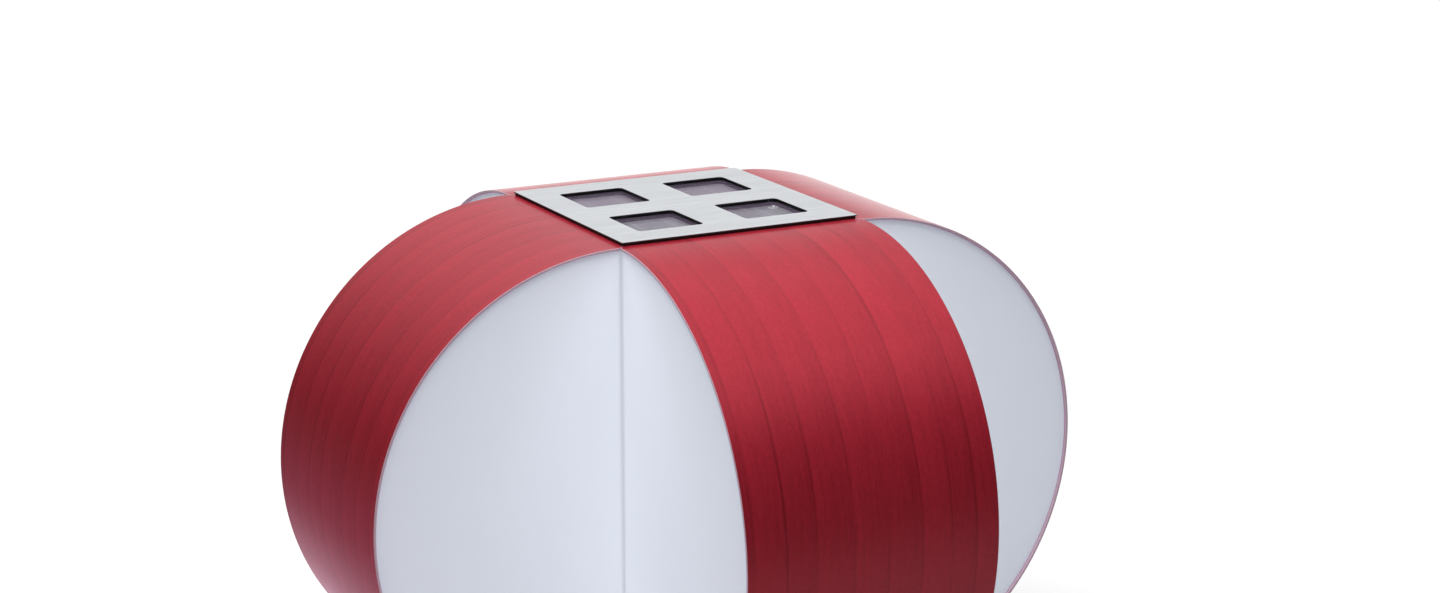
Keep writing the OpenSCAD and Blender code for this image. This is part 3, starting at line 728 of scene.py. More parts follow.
@dataclass(frozen=True)
class Veneer(Finish):
    """Dyed wood veneer under satin lacquer, with its grain along the band and bare wood on its cut edges."""

    name: str = "red_veneer"
    dye: Colour = (0.470, 0.0200, 0.0385)
    deep: Colour = (0.200, 0.0066, 0.0150)
    line: Colour = (0.120, 0.0035, 0.0080)
    edge: Colour = (0.660, 0.520, 0.620)
    sheen: Colour = (1.000, 0.155, 0.200)
    strip: float = 13.0 * MM
    uneven: float = 0.75
    sway_w: float = 3.0 * MM
    sway: Streaks = Streaks(9.0, 5.0)
    fade: Streaks = Streaks(60.0, 9.0)
    fade_ramp: Ramp = (0.38, 0.66, 0.06, 1.0)
    line_ramp: Ramp = (0.0, 0.07, 1.0, 0.0)
    line_share: float = 0.55
    pore: Streaks = Streaks(2600.0, 170.0)
    pore_ramp: Ramp = (0.60, 0.74, 0.0, 1.0)
    pore_share: float = 0.25
    tone: float = -0.375
    leaf: float = 0.15
    # weight of the painted shade to one side of each strip
    aside: float = 0.17
    cloud: Streaks = Streaks(170.0, 5.0, 3.0, 0.20)
    fibre: Streaks = Streaks(1500.0, 14.0, 4.0, 0.30)
    fleck: Streaks = Streaks(620.0, 65.0, 3.0, 0.50)
    speck: Streaks = Streaks(900.0, 560.0, 2.0, 0.60)
    wave: Streaks = Streaks(75.0, 9.0)
    roughness: float = 0.42
    fibre_rub: float = 0.22
    bare_rub: float = 0.25
    fibre_h: float = 0.6
    fleck_h: float = 0.8
    wave_h: float = 5.0
    depth: float = 0.03 * MM

    def paint(self, skin: Skin) -> None:
        """Paints on the band's own map: u runs across it and v along it, in metres.

        Strips of leaf differ in tone, and each is painted a little darker to one side: a painted shade
        that stands in for the sheen of a cupped strip. A thin dark line at their edges comes and goes.
        Fibres, flecks, specks, pores and broad clouds are noise stretched along v, and slow waves turn
        the face a little.

        Args:
            skin: The material to paint.
        """
        place = skin.add("UVMap", uv_map=BAND_MAP)[0]
        sway = skin.centred(self.sway.on(skin, place))
        across = skin.maths("MULTIPLY_ADD", sway, self.sway_w, skin.axes(place)["X"])
        cells = skin.maths("DIVIDE", across, self.strip)
        strips = {"W": cells, "Scale": 1.0, "Randomness": self.uneven}
        leaf, rim = (
            skin.add("TexVoronoi", strips, voronoi_dimensions="1D", feature=feature)
            for feature in ("F1", "DISTANCE_TO_EDGE")
        )
        leaf_tone = skin.add("SeparateColor", {"Color": leaf["Color"]})[0]
        # painted shade: each strip darker to one side, for the sheen of a cupped strip
        aside = skin.maths("SUBTRACT", leaf["W"], cells)
        fade = skin.ranged(self.fade.on(skin, place), self.fade_ramp)
        line = skin.maths("MULTIPLY", skin.ranged(rim["Distance"], self.line_ramp), fade)
        pores = skin.ranged(self.pore.on(skin, place), self.pore_ramp)
        toning = (self.cloud, self.fibre, self.fleck, self.speck)
        noises = {streaks: streaks.on(skin, place) for streaks in toning}
        fibre, fleck = noises[self.fibre], noises[self.fleck]
        parts = [(leaf_tone, self.leaf), (aside, self.aside)]
        parts += [(noise, streaks.weight) for streaks, noise in noises.items()]
        tone = skin.maths("ADD", skin.summed(self.tone, parts), 0.0, clamp=True)
        bare = skin.value("bare")
        colour = skin.mixed(tone, self.deep, self.dye)
        colour = skin.mixed(skin.maths("MULTIPLY", line, self.line_share), colour, self.line)
        colour = skin.mixed(skin.maths("MULTIPLY", pores, self.pore_share), colour, self.line)
        rough = skin.summed(self.roughness, ((skin.centred(fibre), self.fibre_rub),))
        cuts = skin.maths("ADD", pores, line)
        height = skin.maths("SUBTRACT", skin.maths("MULTIPLY", fibre, self.fibre_h), cuts)
        wave = self.wave.on(skin, place)
        skin.shade({
            "Base Color": skin.mixed(bare, colour, self.edge),
            "Roughness": skin.maths("MULTIPLY_ADD", bare, self.bare_rub, rough, clamp=True),
            "IOR": 1.9,
            "Specular IOR Level": 1.0,
            "Specular Tint": self.sheen,
            "Coat Weight": 0.6,
            "Coat Roughness": 0.15,
            "Coat IOR": 1.18,
        }, skin.summed(height, ((fleck, self.fleck_h), (wave, self.wave_h))), self.depth)


@dataclass(frozen=True)
class Opal(Finish):
    """Satin opal sheet with painted light: an emission, brightest near the middle of the lamp, that stands in
    for light scattered through the sheets.
    """

    name: str = "opal_sheet"
    colour: Colour = (0.800, 0.822, 0.870)
    # colour of the painted shade at the fold and rim
    crease: Colour = (0.690, 0.710, 0.760)
    # colours of the painted light, far from and near the fold
    dim: Colour = (0.184, 0.197, 0.235)
    bright: Colour = (0.268, 0.280, 0.314)
    crease_shade_share: float = 0.5
    grain: Grain = Grain(0.012, 420.0, 0.42, 0.10)
    depth: float = 0.01 * MM

    def paint(self, skin: Skin) -> None:
        """Mottles the sheet, and paints on it light and a shade at the fold and rim, from its own values.

        Args:
            skin: The material to paint.
        """
        face = skin.mottled(self.colour, self.grain)
        # painted shade: a darker colour and less light at the fold and along the rim
        fold = skin.value("crease")
        # painted light: an emission that stands in for light scattered through the sheet
        light = skin.mixed(skin.value("glow"), self.dim, self.bright)
        skin.shade({
            "Base Color": skin.mixed(fold, face["Color"], self.crease),
            "Roughness": face["Roughness"],
            "Emission Color": skin.mixed(skin.maths("MULTIPLY", fold, self.crease_shade_share), light, self.dim),
            "Emission Strength": 1.0,
        }, face["Height"], self.depth)


@dataclass(frozen=True)
class Glass(Finish):
    """Clear glass with faint smears, and a coating that turns violet-grey at a low angle."""

    name: str = "window_glass"
    colour: Colour = (0.93, 0.95, 0.96)
    coating: Colour = (0.850, 0.650, 0.950)
    smear: Streaks = Streaks(60.0, 25.0, 3.0)
    smear_ramp: Ramp = (0.35, 0.75, 0.02, 0.06)

    def paint(self, skin: Skin) -> None:
        """Changes only the roughness over the surface.

        Args:
            skin: The material to paint.
        """
        skin.shade({
            "Base Color": self.colour,
            "Roughness": skin.ranged(self.smear.on(skin, skin.place()), self.smear_ramp),
            "Transmission Weight": 1.0,
            "IOR": 1.28,
            "Sheen Weight": 0.5,
            "Sheen Roughness": 0.5,
            "Sheen Tint": self.coating,
        })


@dataclass(frozen=True)
class Cell(Finish):
    """Solar cell: violet-grey silicon, plum towards the back, with printed silver fingers and wider bars."""

    name: str = "solar_cell"
    silicon: Colour = (0.046, 0.040, 0.062)
    plum: Colour = (0.068, 0.024, 0.070)
    silver: Colour = (0.340, 0.320, 0.350)
    silver_share: float = 0.5
    back_ramp: Ramp = (-8.0 * MM, 8.0 * MM, 0.0, 1.0)
    grain: Grain = Grain(0.25, 500.0, 0.36, 0.2)
    fingers: Lines = Lines(1.9 * MM, 0.14 * MM)
    bars: Lines = Lines(13.5 * MM, 1.0 * MM)
    depth: float = 0.01 * MM

    def paint(self, skin: Skin) -> None:
        """Mottles the silicon and prints the silver on it.

        Args:
            skin: The material to paint.
        """
        axes = skin.axes(skin.place())
        back = skin.ranged(axes["Y"], self.back_ramp)
        face = skin.mottled(skin.mixed(back, self.silicon, self.plum), self.grain)
        fingers, bars = skin.printed(axes["Y"], self.fingers), skin.printed(axes["X"], self.bars)
        silver = skin.maths("MAXIMUM", fingers, bars)
        share = skin.maths("MULTIPLY", silver, self.silver_share)
        skin.shade({
            "Base Color": skin.mixed(share, face["Color"], self.silver),
            "Roughness": face["Roughness"],
            "Specular IOR Level": 0.1,
        }, silver, self.depth)


@dataclass(frozen=True)
class Board(Finish):
    """Lacquered circuit board with faint printed tracks, which a noise lets through in places."""

    name: str = "circuit_board"
    lacquer: Colour = (0.012, 0.028, 0.020)
    track: Colour = (0.028, 0.056, 0.040)
    grain: Grain = Grain(0.12, 700.0, 0.32, 0.15)
    rows: Lines = Lines(2.5 * MM, 0.6 * MM)
    gate: Streaks = Streaks(110.0, 45.0, 1.0)
    gate_ramp: Ramp = (0.50, 0.53, 0.0, 1.0)
    depth: float = 0.03 * MM

    def paint(self, skin: Skin) -> None:
        """Mottles the lacquer and raises the tracks.

        Args:
            skin: The material to paint.
        """
        place = skin.place()
        face = skin.mottled(self.lacquer, self.grain)
        gate = skin.ranged(self.gate.on(skin, place), self.gate_ramp)
        tracks = skin.maths("MULTIPLY", skin.printed(skin.axes(place)["X"], self.rows), gate)
        skin.shade({
            "Base Color": skin.mixed(tracks, face["Color"], self.track),
            "Roughness": face["Roughness"],
            "Coat Weight": 0.3,
        }, tracks, self.depth)


FINISHES: dict[str, Finish] = {
    "steel": Metal(
        "brushed_steel", (0.768, 0.781, 0.800), (110.0, 1500.0, 1500.0), 0.60, 0.44, metallic=0.72, cut="cut"
    ),
    "zinc": Metal("zinc_plate", (0.60, 0.605, 0.61), (900.0, 900.0, 900.0), 0.15, 0.34, 0.2),
    "black_rubber": Moulded(
        "black_rubber", (0.014, 0.014, 0.015), Grain(0.2, 1400.0, 0.68, 0.12), 0.03 * MM
    ),
    "glass": Glass(),
    "solar_cell": Cell(),
    "tinned_copper": Metal("tinned_copper", (0.50, 0.49, 0.47), (300.0, 300.0, 300.0), 0.2, 0.36, 0.2),
    "sensor": Moulded("sensor_dome", (0.92, 0.91, 0.89), Grain(0.05, 900.0, 0.12, 0.05), 0.002 * MM, 0.5),
    "circuit_board": Board(),
    "grey_plastic": Moulded("dark_grey_plastic", (0.045, 0.045, 0.048), Grain(0.12, 1100.0, 0.5, 0.15)),
    "red_veneer": Veneer(),
    "opal_plastic": Opal(),
    "aluminium": Metal("turned_aluminium", (0.74, 0.74, 0.75), (700.0, 700.0, 4200.0), 0.18, 0.32, 0.2),
    "lead_sheath": Moulded("cable_sheath", (0.03, 0.03, 0.032), Grain(0.1, 800.0, 0.42, 0.1)),
    "white_plastic": Moulded("white_plastic", (0.74, 0.74, 0.72), Grain(0.03, 1000.0, 0.46, 0.12)),
    "brass": Metal("turned_brass", (0.66, 0.46, 0.16), (700.0, 700.0, 4200.0), 0.18, 0.3, 0.2),
    "lens_plastic": Moulded("frosted_lens", (0.78, 0.79, 0.80), Grain(0.03, 1600.0, 0.48, 0.1), 0.01 * MM),
    "led": Moulded("lamp_phosphor", (0.80, 0.62, 0.16), Grain(0.08, 1500.0, 0.35, 0.1), 0.01 * MM, 0.4),
    "black_plastic": Moulded("black_plastic", (0.018, 0.018, 0.019), Grain(0.15, 1300.0, 0.46, 0.18)),
    "battery_wrap": Moulded(
        "battery_sleeve", (0.05, 0.11, 0.22), Grain(0.08, 500.0, 0.28, 0.12), 0.01 * MM, 0.3
    ),
    "spring_steel": Metal("spring_wire", (0.52, 0.52, 0.53), (900.0, 900.0, 900.0), 0.2, 0.36, 0.2),
}


# Sub-assemblies


class SubAssembly:
    """What every sub-assembly does: it builds its pieces and dresses them."""

    def build(self) -> list[Piece]:
        """Builds the pieces, in each sub-assembly's own way."""
        raise NotImplementedError

    def dress(self, pieces: list[Piece], materials: dict[str, Material]) -> None:
        """Gives each piece the material of its slot.

        Args:
            pieces: The pieces, as built.
            materials: A material for each slot.
        """
        for piece in pieces:
            piece.data.materials.clear()
            piece.data.materials.append(materials[piece["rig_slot"]])


@dataclass
class VeneerBand(SubAssembly):
    """One bent band: a strip of veneer on a half circle with flat, mitred ends under the plates."""

    side: Side
    half_w: float
    flat_half: float
    lobe_r: float
    z_mid: float
    tongue_l: float
    thick: float = 1.0 * MM
    mitre: float = 0.1414 * MM
    ease: float = 0.22 * MM
    map_shift: float = 210.0 * MM
    bare_rise: float = 1.4
    face_share: float = 0.98
    rim_share: float = 0.994
    arc_points: int = 181
    flat_points: int = 7
    face_points: int = 41
    ease_points: int = 5
    sharp_deg: float = 50.0

    @classmethod
    def from_frame(cls, side: Side) -> "VeneerBand":
        """Reads the sizes from the CAD node on the right, which the other bands repeat.

        Args:
            side: The lobe.

        Returns:
            The band.
        """
        lo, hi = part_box("veneer_right")
        lobe_r = (hi.z - lo.z) / 2
        flat_half = hi.x - lobe_r
        return cls(side, hi.y, flat_half, lobe_r, (hi.z + lo.z) / 2, flat_half - lo.x)

    def path(self) -> tuple[Array, Array, Array]:
        """The outer face's centre line, bottom end to top end.

        It is u = flat_half + R sin a, z = z_mid - R cos a for a from 0 to a half turn, with a level stretch
        at each end.

        Returns:
            Rows of (u, z), rows of the outward normal, and the length along the line.
        """
        a = np.linspace(0, np.pi, self.arc_points)
        normal = np.stack([np.sin(a), -np.cos(a)], -1)
        arc = np.array([self.flat_half, self.z_mid]) + self.lobe_r * normal
        flat = np.linspace(self.flat_half - self.tongue_l, self.flat_half, self.flat_points, endpoint=False)
        low, high = (
            np.stack([flat, np.full_like(flat, self.z_mid + end * self.lobe_r)], -1) for end in (-1, 1)
        )
        down, up = (np.tile([0.0, end], (self.flat_points, 1)) for end in (-1.0, 1.0))
        points = np.concatenate([low, arc, high[::-1]])
        steps = np.linalg.norm(np.diff(points, axis=0), axis=1)
        return points, np.concatenate([down, normal, up]), np.concatenate([[0.0], np.cumsum(steps)])

    def section(self) -> tuple[Array, Array, Array, Array]:
        """The strip's closed section: share of the half width, step past it, depth and bare-wood mask.

        A corner is eased along a quarter circle: step = e sin t, depth = e (1 - cos t).

        Returns:
            Four numbers for each point round the section.
        """
        t = np.linspace(0, QUARTER, self.ease_points)
        inner = np.linspace(-self.face_share, self.face_share, self.face_points)
        face = np.concatenate([[-1.0, -self.rim_share], inner, [self.rim_share]])
        back = face[:0:-1]
        out, cut = self.ease * np.sin(t), self.ease * (1 - np.cos(t))
        one, mask = np.ones_like(t), np.clip(t * self.bare_rise, 0, 1)
        share = np.concatenate([face, one, one, back, -one, -one])
        step = np.concatenate([0 * face, out, out[::-1], 0 * back, -out, -out[::-1]])
        under = self.thick - cut
        depth = np.concatenate([0 * face, cut, under[::-1], 0 * back + self.thick, under, cut[::-1]])
        bare = np.concatenate([0 * face, mask, one, 0 * back + 1, one, mask[::-1]])
        return share, step, depth, bare

    def cap(self, ring: Array, first: bool) -> Shell:
        """An end face: the ring of points and its middle line, joined by quads.

        Args:
            ring: The section's points at one end.
            first: True at the path's first end, where the face looks back along it.

        Returns:
            The cap.
        """
        middle = ring.copy()
        middle[:, 2] = ring[:, 2].mean()
        quads = grid_quads(2, len(ring), closed=True)
        return np.concatenate([ring, middle]), quads[:, ::-1] if first else quads

    def build(self) -> list[Piece]:
        """Carries the section along the path: p = path - depth normal, across = share (h - e) + step.

        The half width h is the smaller of the band's and u less the mitre's gap, which cuts the ends to a
        mitre.

        Returns:
            The piece.
        """
        line, normal, length = self.path()
        share, step, depth, bare = self.section()
        half = np.minimum(self.half_w, line[:, :1] - self.mitre)
        across = share * (half - self.ease) + step
        u, z = line[:, :1] - depth * normal[:, :1], line[:, 1:] - depth * normal[:, 1:]
        rings = np.stack([u, across, z], -1)
        strip = rings.reshape(-1, 3), grid_quads(*across.shape, closed=True)
        points, quads = joined([strip, self.cap(rings[0], True), self.cap(rings[-1], False)])
        shift = self.map_shift * self.side.value / RIGHT_DEG
        uv = np.stack([across + shift, length[:, None] + 0 * across], -1).reshape(-1, 2)
        caps = np.zeros((len(points) - len(uv), 2))
        bare = np.concatenate([np.tile(bare, len(line)), caps[:, 0] + 1])
        name = self.side.name.lower()
        return [make_piece(
            f"band_{name}", (turned(points, self.side.value), quads), Body.LAMP, "red_veneer",
            f"veneer_{name}", np.concatenate([uv, caps]), {"bare": bare}, self.sharp_deg,
        )]


@dataclass
class OpalSheet(SubAssembly):
    """One folded sheet: two D-shaped wings that meet in an upright fold below a corner of the plate."""

    corner: Corner
    inner: float
    sheet_r: float
    flat_half: float
    z_mid: float
    thick: float = 2.0 * MM
    fold_r: float = 1.5 * MM
    ease: float = 0.35 * MM
    wing_start: float = 1.2 * MM
    tip_share: float = 0.9
    # how the painted light spreads from the fold and falls towards the top and bottom
    glow_reach: float = 45.0 * MM
    glow_power: float = 1.3
    glow_fall: float = 0.35
    glow_fall_power: int = 4
    # widths of the painted shade at the fold and along the rim
    crease_shade_w: float = 0.8 * MM
    rim_shade_w: float = 3.0 * MM
    wing_points: int = 33
    tip_points: int = 16
    fold_points: int = 13
    level_points: int = 49
    ease_points: int = 4
    sharp_deg: float = 50.0

    @classmethod
    def from_frame(cls, corner: Corner) -> "OpalSheet":
        """Reads the sizes from the CAD node at the back on the right, which the other sheets repeat.

        Args:
            corner: The sheet's corner.

        Returns:
            The sheet.
        """
        lo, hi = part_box("diffuser_back_right")
        sheet_r = (hi.z - lo.z) / 2
        return cls(corner, lo.x, sheet_r, hi.x - sheet_r, (hi.z + lo.z) / 2)

    def plan(self) -> tuple[Array, Array, Array, Array]:
        """The outer face in plan, from the tip of one wing through the fold to the tip of the other.

        A wing is u = flat_half + R sin a with height R cos a. The fold is a quarter circle about its own
        centre.

        Returns:
            Rows of (x, y), rows of the normal into the lamp, the half height, and the distance from the fold.
        """
        out = self.inner + self.thick
        centre = out + self.fold_r
        body = np.linspace(0, self.tip_share, self.wing_points, endpoint=False)
        a = np.concatenate([body, np.linspace(self.tip_share, 1, self.tip_points)]) * QUARTER
        reach = self.flat_half + self.wing_start + (self.sheet_r - self.wing_start) * np.sin(a)
        u = np.concatenate([[centre], reach])
        run = np.clip(u - self.flat_half, 0, None)
        height = np.sqrt(np.clip(self.sheet_r**2 - run**2, 0, None))
        t = np.linspace(0, QUARTER, self.fold_points)[1:-1]
        bend = -np.stack([np.sin(t), np.cos(t)], -1)
        wing = np.stack([u[::-1], np.full_like(u, out)], -1)
        points = np.concatenate([wing, centre + self.fold_r * bend, wing[::-1, ::-1]])
        first, last = (np.tile(way, (len(u), 1)) for way in ([0.0, -1.0], [-1.0, 0.0]))
        tall = np.concatenate([height[::-1], np.full(len(t), self.sheet_r), height])
        steps = np.concatenate([[0.0], np.cumsum(np.linalg.norm(np.diff(points, axis=0), axis=1))])
        return points, np.concatenate([first, bend, last]), tall, np.abs(steps - steps[-1] / 2)

    def build(self) -> list[Piece]:
        """Carries an upright section along the plan: z = z_mid + b H on both faces, with eased rims.

        Two values go with it, with d the distance from the fold, h the height off the middle and s the
        distance from the rim. The painted light is exp(-(d / reach)^power) less a fall of (h / R)^4, darker
        towards the top and bottom. The painted shade is the greater of exp(-(d / fold shade width)^2) and
        exp(-s / rim shade width), shade in the fold and along the rim.

        Returns:
            The piece.
        """
        line, inward, tall, off = self.plan()
        t = np.linspace(0, QUARTER, self.ease_points)
        b = np.linspace(-1, 1, self.level_points)
        ease = np.minimum(self.ease, tall[:, None] / 2)
        flat, one, past, cut = 0 * b, 0 * t + 1, np.sin(t), 1 - np.cos(t)
        level = np.concatenate([b, one, one, b[::-1], -one, -one])
        step = np.concatenate([flat, past, past[::-1], flat, -past, -past[::-1]])
        trim = np.concatenate([flat, cut, -cut[::-1], flat, -cut, cut[::-1]])
        back = np.concatenate([flat, 0 * t, one, flat + 1, one, 0 * t])
        z = self.z_mid + level * (tall[:, None] - ease) + step * ease
        depth = back * self.thick + trim * ease
        x, y = line[:, :1] + depth * inward[:, :1], line[:, 1:] + depth * inward[:, 1:]
        points = np.stack([x, y, z], -1).reshape(-1, 3)
        rise = z - self.z_mid
        # painted light, from the fold outwards and dimmer towards the top and bottom
        glow = np.exp(-((off[:, None] / self.glow_reach) ** self.glow_power))
        glow = glow - self.glow_fall * (rise / self.sheet_r) ** self.glow_fall_power
        # painted shade along the rim and in the fold
        run = np.clip(line.max(1, keepdims=True) - self.flat_half, 0, None)
        rim = np.exp(-(self.sheet_r - np.hypot(run, rise)) / self.rim_shade_w)
        crease = np.maximum(np.exp(-((off[:, None] / self.crease_shade_w) ** 2)), rim)
        shell = turned(points, self.corner.value), grid_quads(*z.shape, closed=True)
        name = self.corner.name.lower()
        return [make_piece(
            f"sheet_{name}", shell, Body.LAMP, "opal_plastic", f"diffuser_{name}",
            values={"glow": glow.ravel(), "crease": crease.ravel()}, sharp_deg=self.sharp_deg,
        )]


@dataclass
class TopPlate(SubAssembly):
    """The steel plate with four windows, with its edges eased and its cut faces marked for a painted shade.
    """

    half: float
    z_low: float
    z_high: float
    corner_r: float = 0.6 * MM
    window_w: float = 27.2 * MM
    window_pitch: float = 45.0 * MM
    window_r: float = 2.0 * MM
    ease: float = 0.13 * MM
    ease_mask: tuple[float, ...] = (0.0, 0.0, 0.35, 1.0)
    side_points: int = 9
    corner_points: int = 7
    flat_rows: int = 5
    sharp_deg: float = 28.0

    @classmethod
    def from_frame(cls) -> "TopPlate":
        """Reads the plate's outer sizes from its CAD node."""
        lo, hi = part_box("top_plate")
        return cls(hi.x, lo.z, hi.z)

    def loop(self, low: float, high: float, radii: tuple[float, ...]) -> tuple[Array, Array]:
        """A square from (low, low) to (high, high) with its own radius at each corner, anticlockwise.

        Each corner is an arc c + r (cos a, sin a), and each side runs straight to the next.

        Args:
            low: Lowest x and y.
            high: Highest x and y.
            radii: Radii at the corners from the lowest one on.

        Returns:
            Rows of (x, y), and rows of the outward normal.
        """
        corners = np.array([(low, low), (high, low), (high, high), (low, high)])
        ways = np.array([(1, 1), (-1, 1), (-1, -1), (1, -1)])
        share = np.linspace(0, 1, self.side_points + 2)[1:-1, None]
        points, normals = [], []
        for k, radius in enumerate(radii):
            n = (k + 1) % len(radii)
            a = np.linspace(2 * QUARTER, 3 * QUARTER, self.corner_points) + k * QUARTER
            aim = np.stack([np.cos(a), np.sin(a)], -1)
            arc = corners[k] + ways[k] * radius + radius * aim
            goal = corners[n] + ways[n] * radii[n] + radii[n] * aim[-1]
            points += [arc, arc[-1] + share * (goal - arc[-1])]
            normals += [aim, np.tile(aim[-1], (self.side_points, 1))]
        return np.concatenate(points), np.concatenate(normals)

    def rim(self, loop: Array, normal: Array, way: float) -> tuple[Array, Array, Array]:
        """A wall round a loop: over an eased edge, down and under, with its cut face marked for a painted
        shade.

        Args:
            loop: Rows of (x, y) where the flat face ends.
            normal: Rows of the loop's outward normal.
            way: 1 for the plate's outside, -1 for a window.

        Returns:
            Points, quads and the mask of the cut face.
        """
        t = np.linspace(0, QUARTER, len(self.ease_mask))
        out, cut = np.sin(t) * self.ease, self.ease * (1 - np.cos(t))
        out = np.concatenate([out, out[::-1]])
        z = np.concatenate([self.z_high - cut, (self.z_low + cut)[::-1]])
        mask = np.concatenate([self.ease_mask, np.ones_like(t)])
        points = raised(loop + way * out[:, None, None] * normal, z[:, None, None])
        return points, grid_quads(len(out), len(loop), closed=True), np.repeat(mask, len(loop))

    def build(self) -> list[Piece]:
        """Lays four flat quarters round the windows, above and below, and joins the walls.

        A quarter runs from its window to its outline: q(s) = (1-s) window + s outline.

        Returns:
            The piece.
        """
        middle, grow = self.window_pitch / 2, self.window_w / 2 + self.ease
        window, window_n = self.loop(middle - grow, middle + grow, (self.window_r + self.ease,) * 4)
        corner_r = self.corner_r - self.ease
        outline, outline_n = self.loop(0.0, self.half - self.ease, (0.0, 0.0, corner_r, 0.0))
        s = np.linspace(0, 1, self.flat_rows)[:, None, None]
        flat = (1 - s) * window + s * outline
        face = grid_quads(self.flat_rows, len(window), closed=True)
        high, low = raised(flat, self.z_high), raised(flat, self.z_low)
        wall, wall_quads, wall_mask = self.rim(window, window_n, -1.0)
        quarter = [(high, face[:, ::-1]), (low, face), (wall, wall_quads)]
        shells = [(turned(points, side.value), quads) for side in Side for points, quads in quarter]
        block = self.corner_points + self.side_points
        outer = np.arange(block + self.corner_points - 1, 3 * block)
        edge, edge_n = (
            np.concatenate([turned(raised(rows[outer], 0.0), side.value)[:, :2] for side in Side])
            for rows in (outline, outline_n)
        )
        wall, wall_quads, edge_mask = self.rim(edge, edge_n, 1.0)
        shells.append((wall, wall_quads[:, ::-1]))
        plain = np.zeros(len(high) + len(low))
        # the cut faces take the steel's painted shade
        cut = np.concatenate([*[plain, wall_mask] * len(Side), edge_mask])
        return [make_piece(
            "plate_top", joined(shells), Body.LAMP, "steel", "top_plate",
            values={"cut": cut}, sharp_deg=self.sharp_deg,
        )]


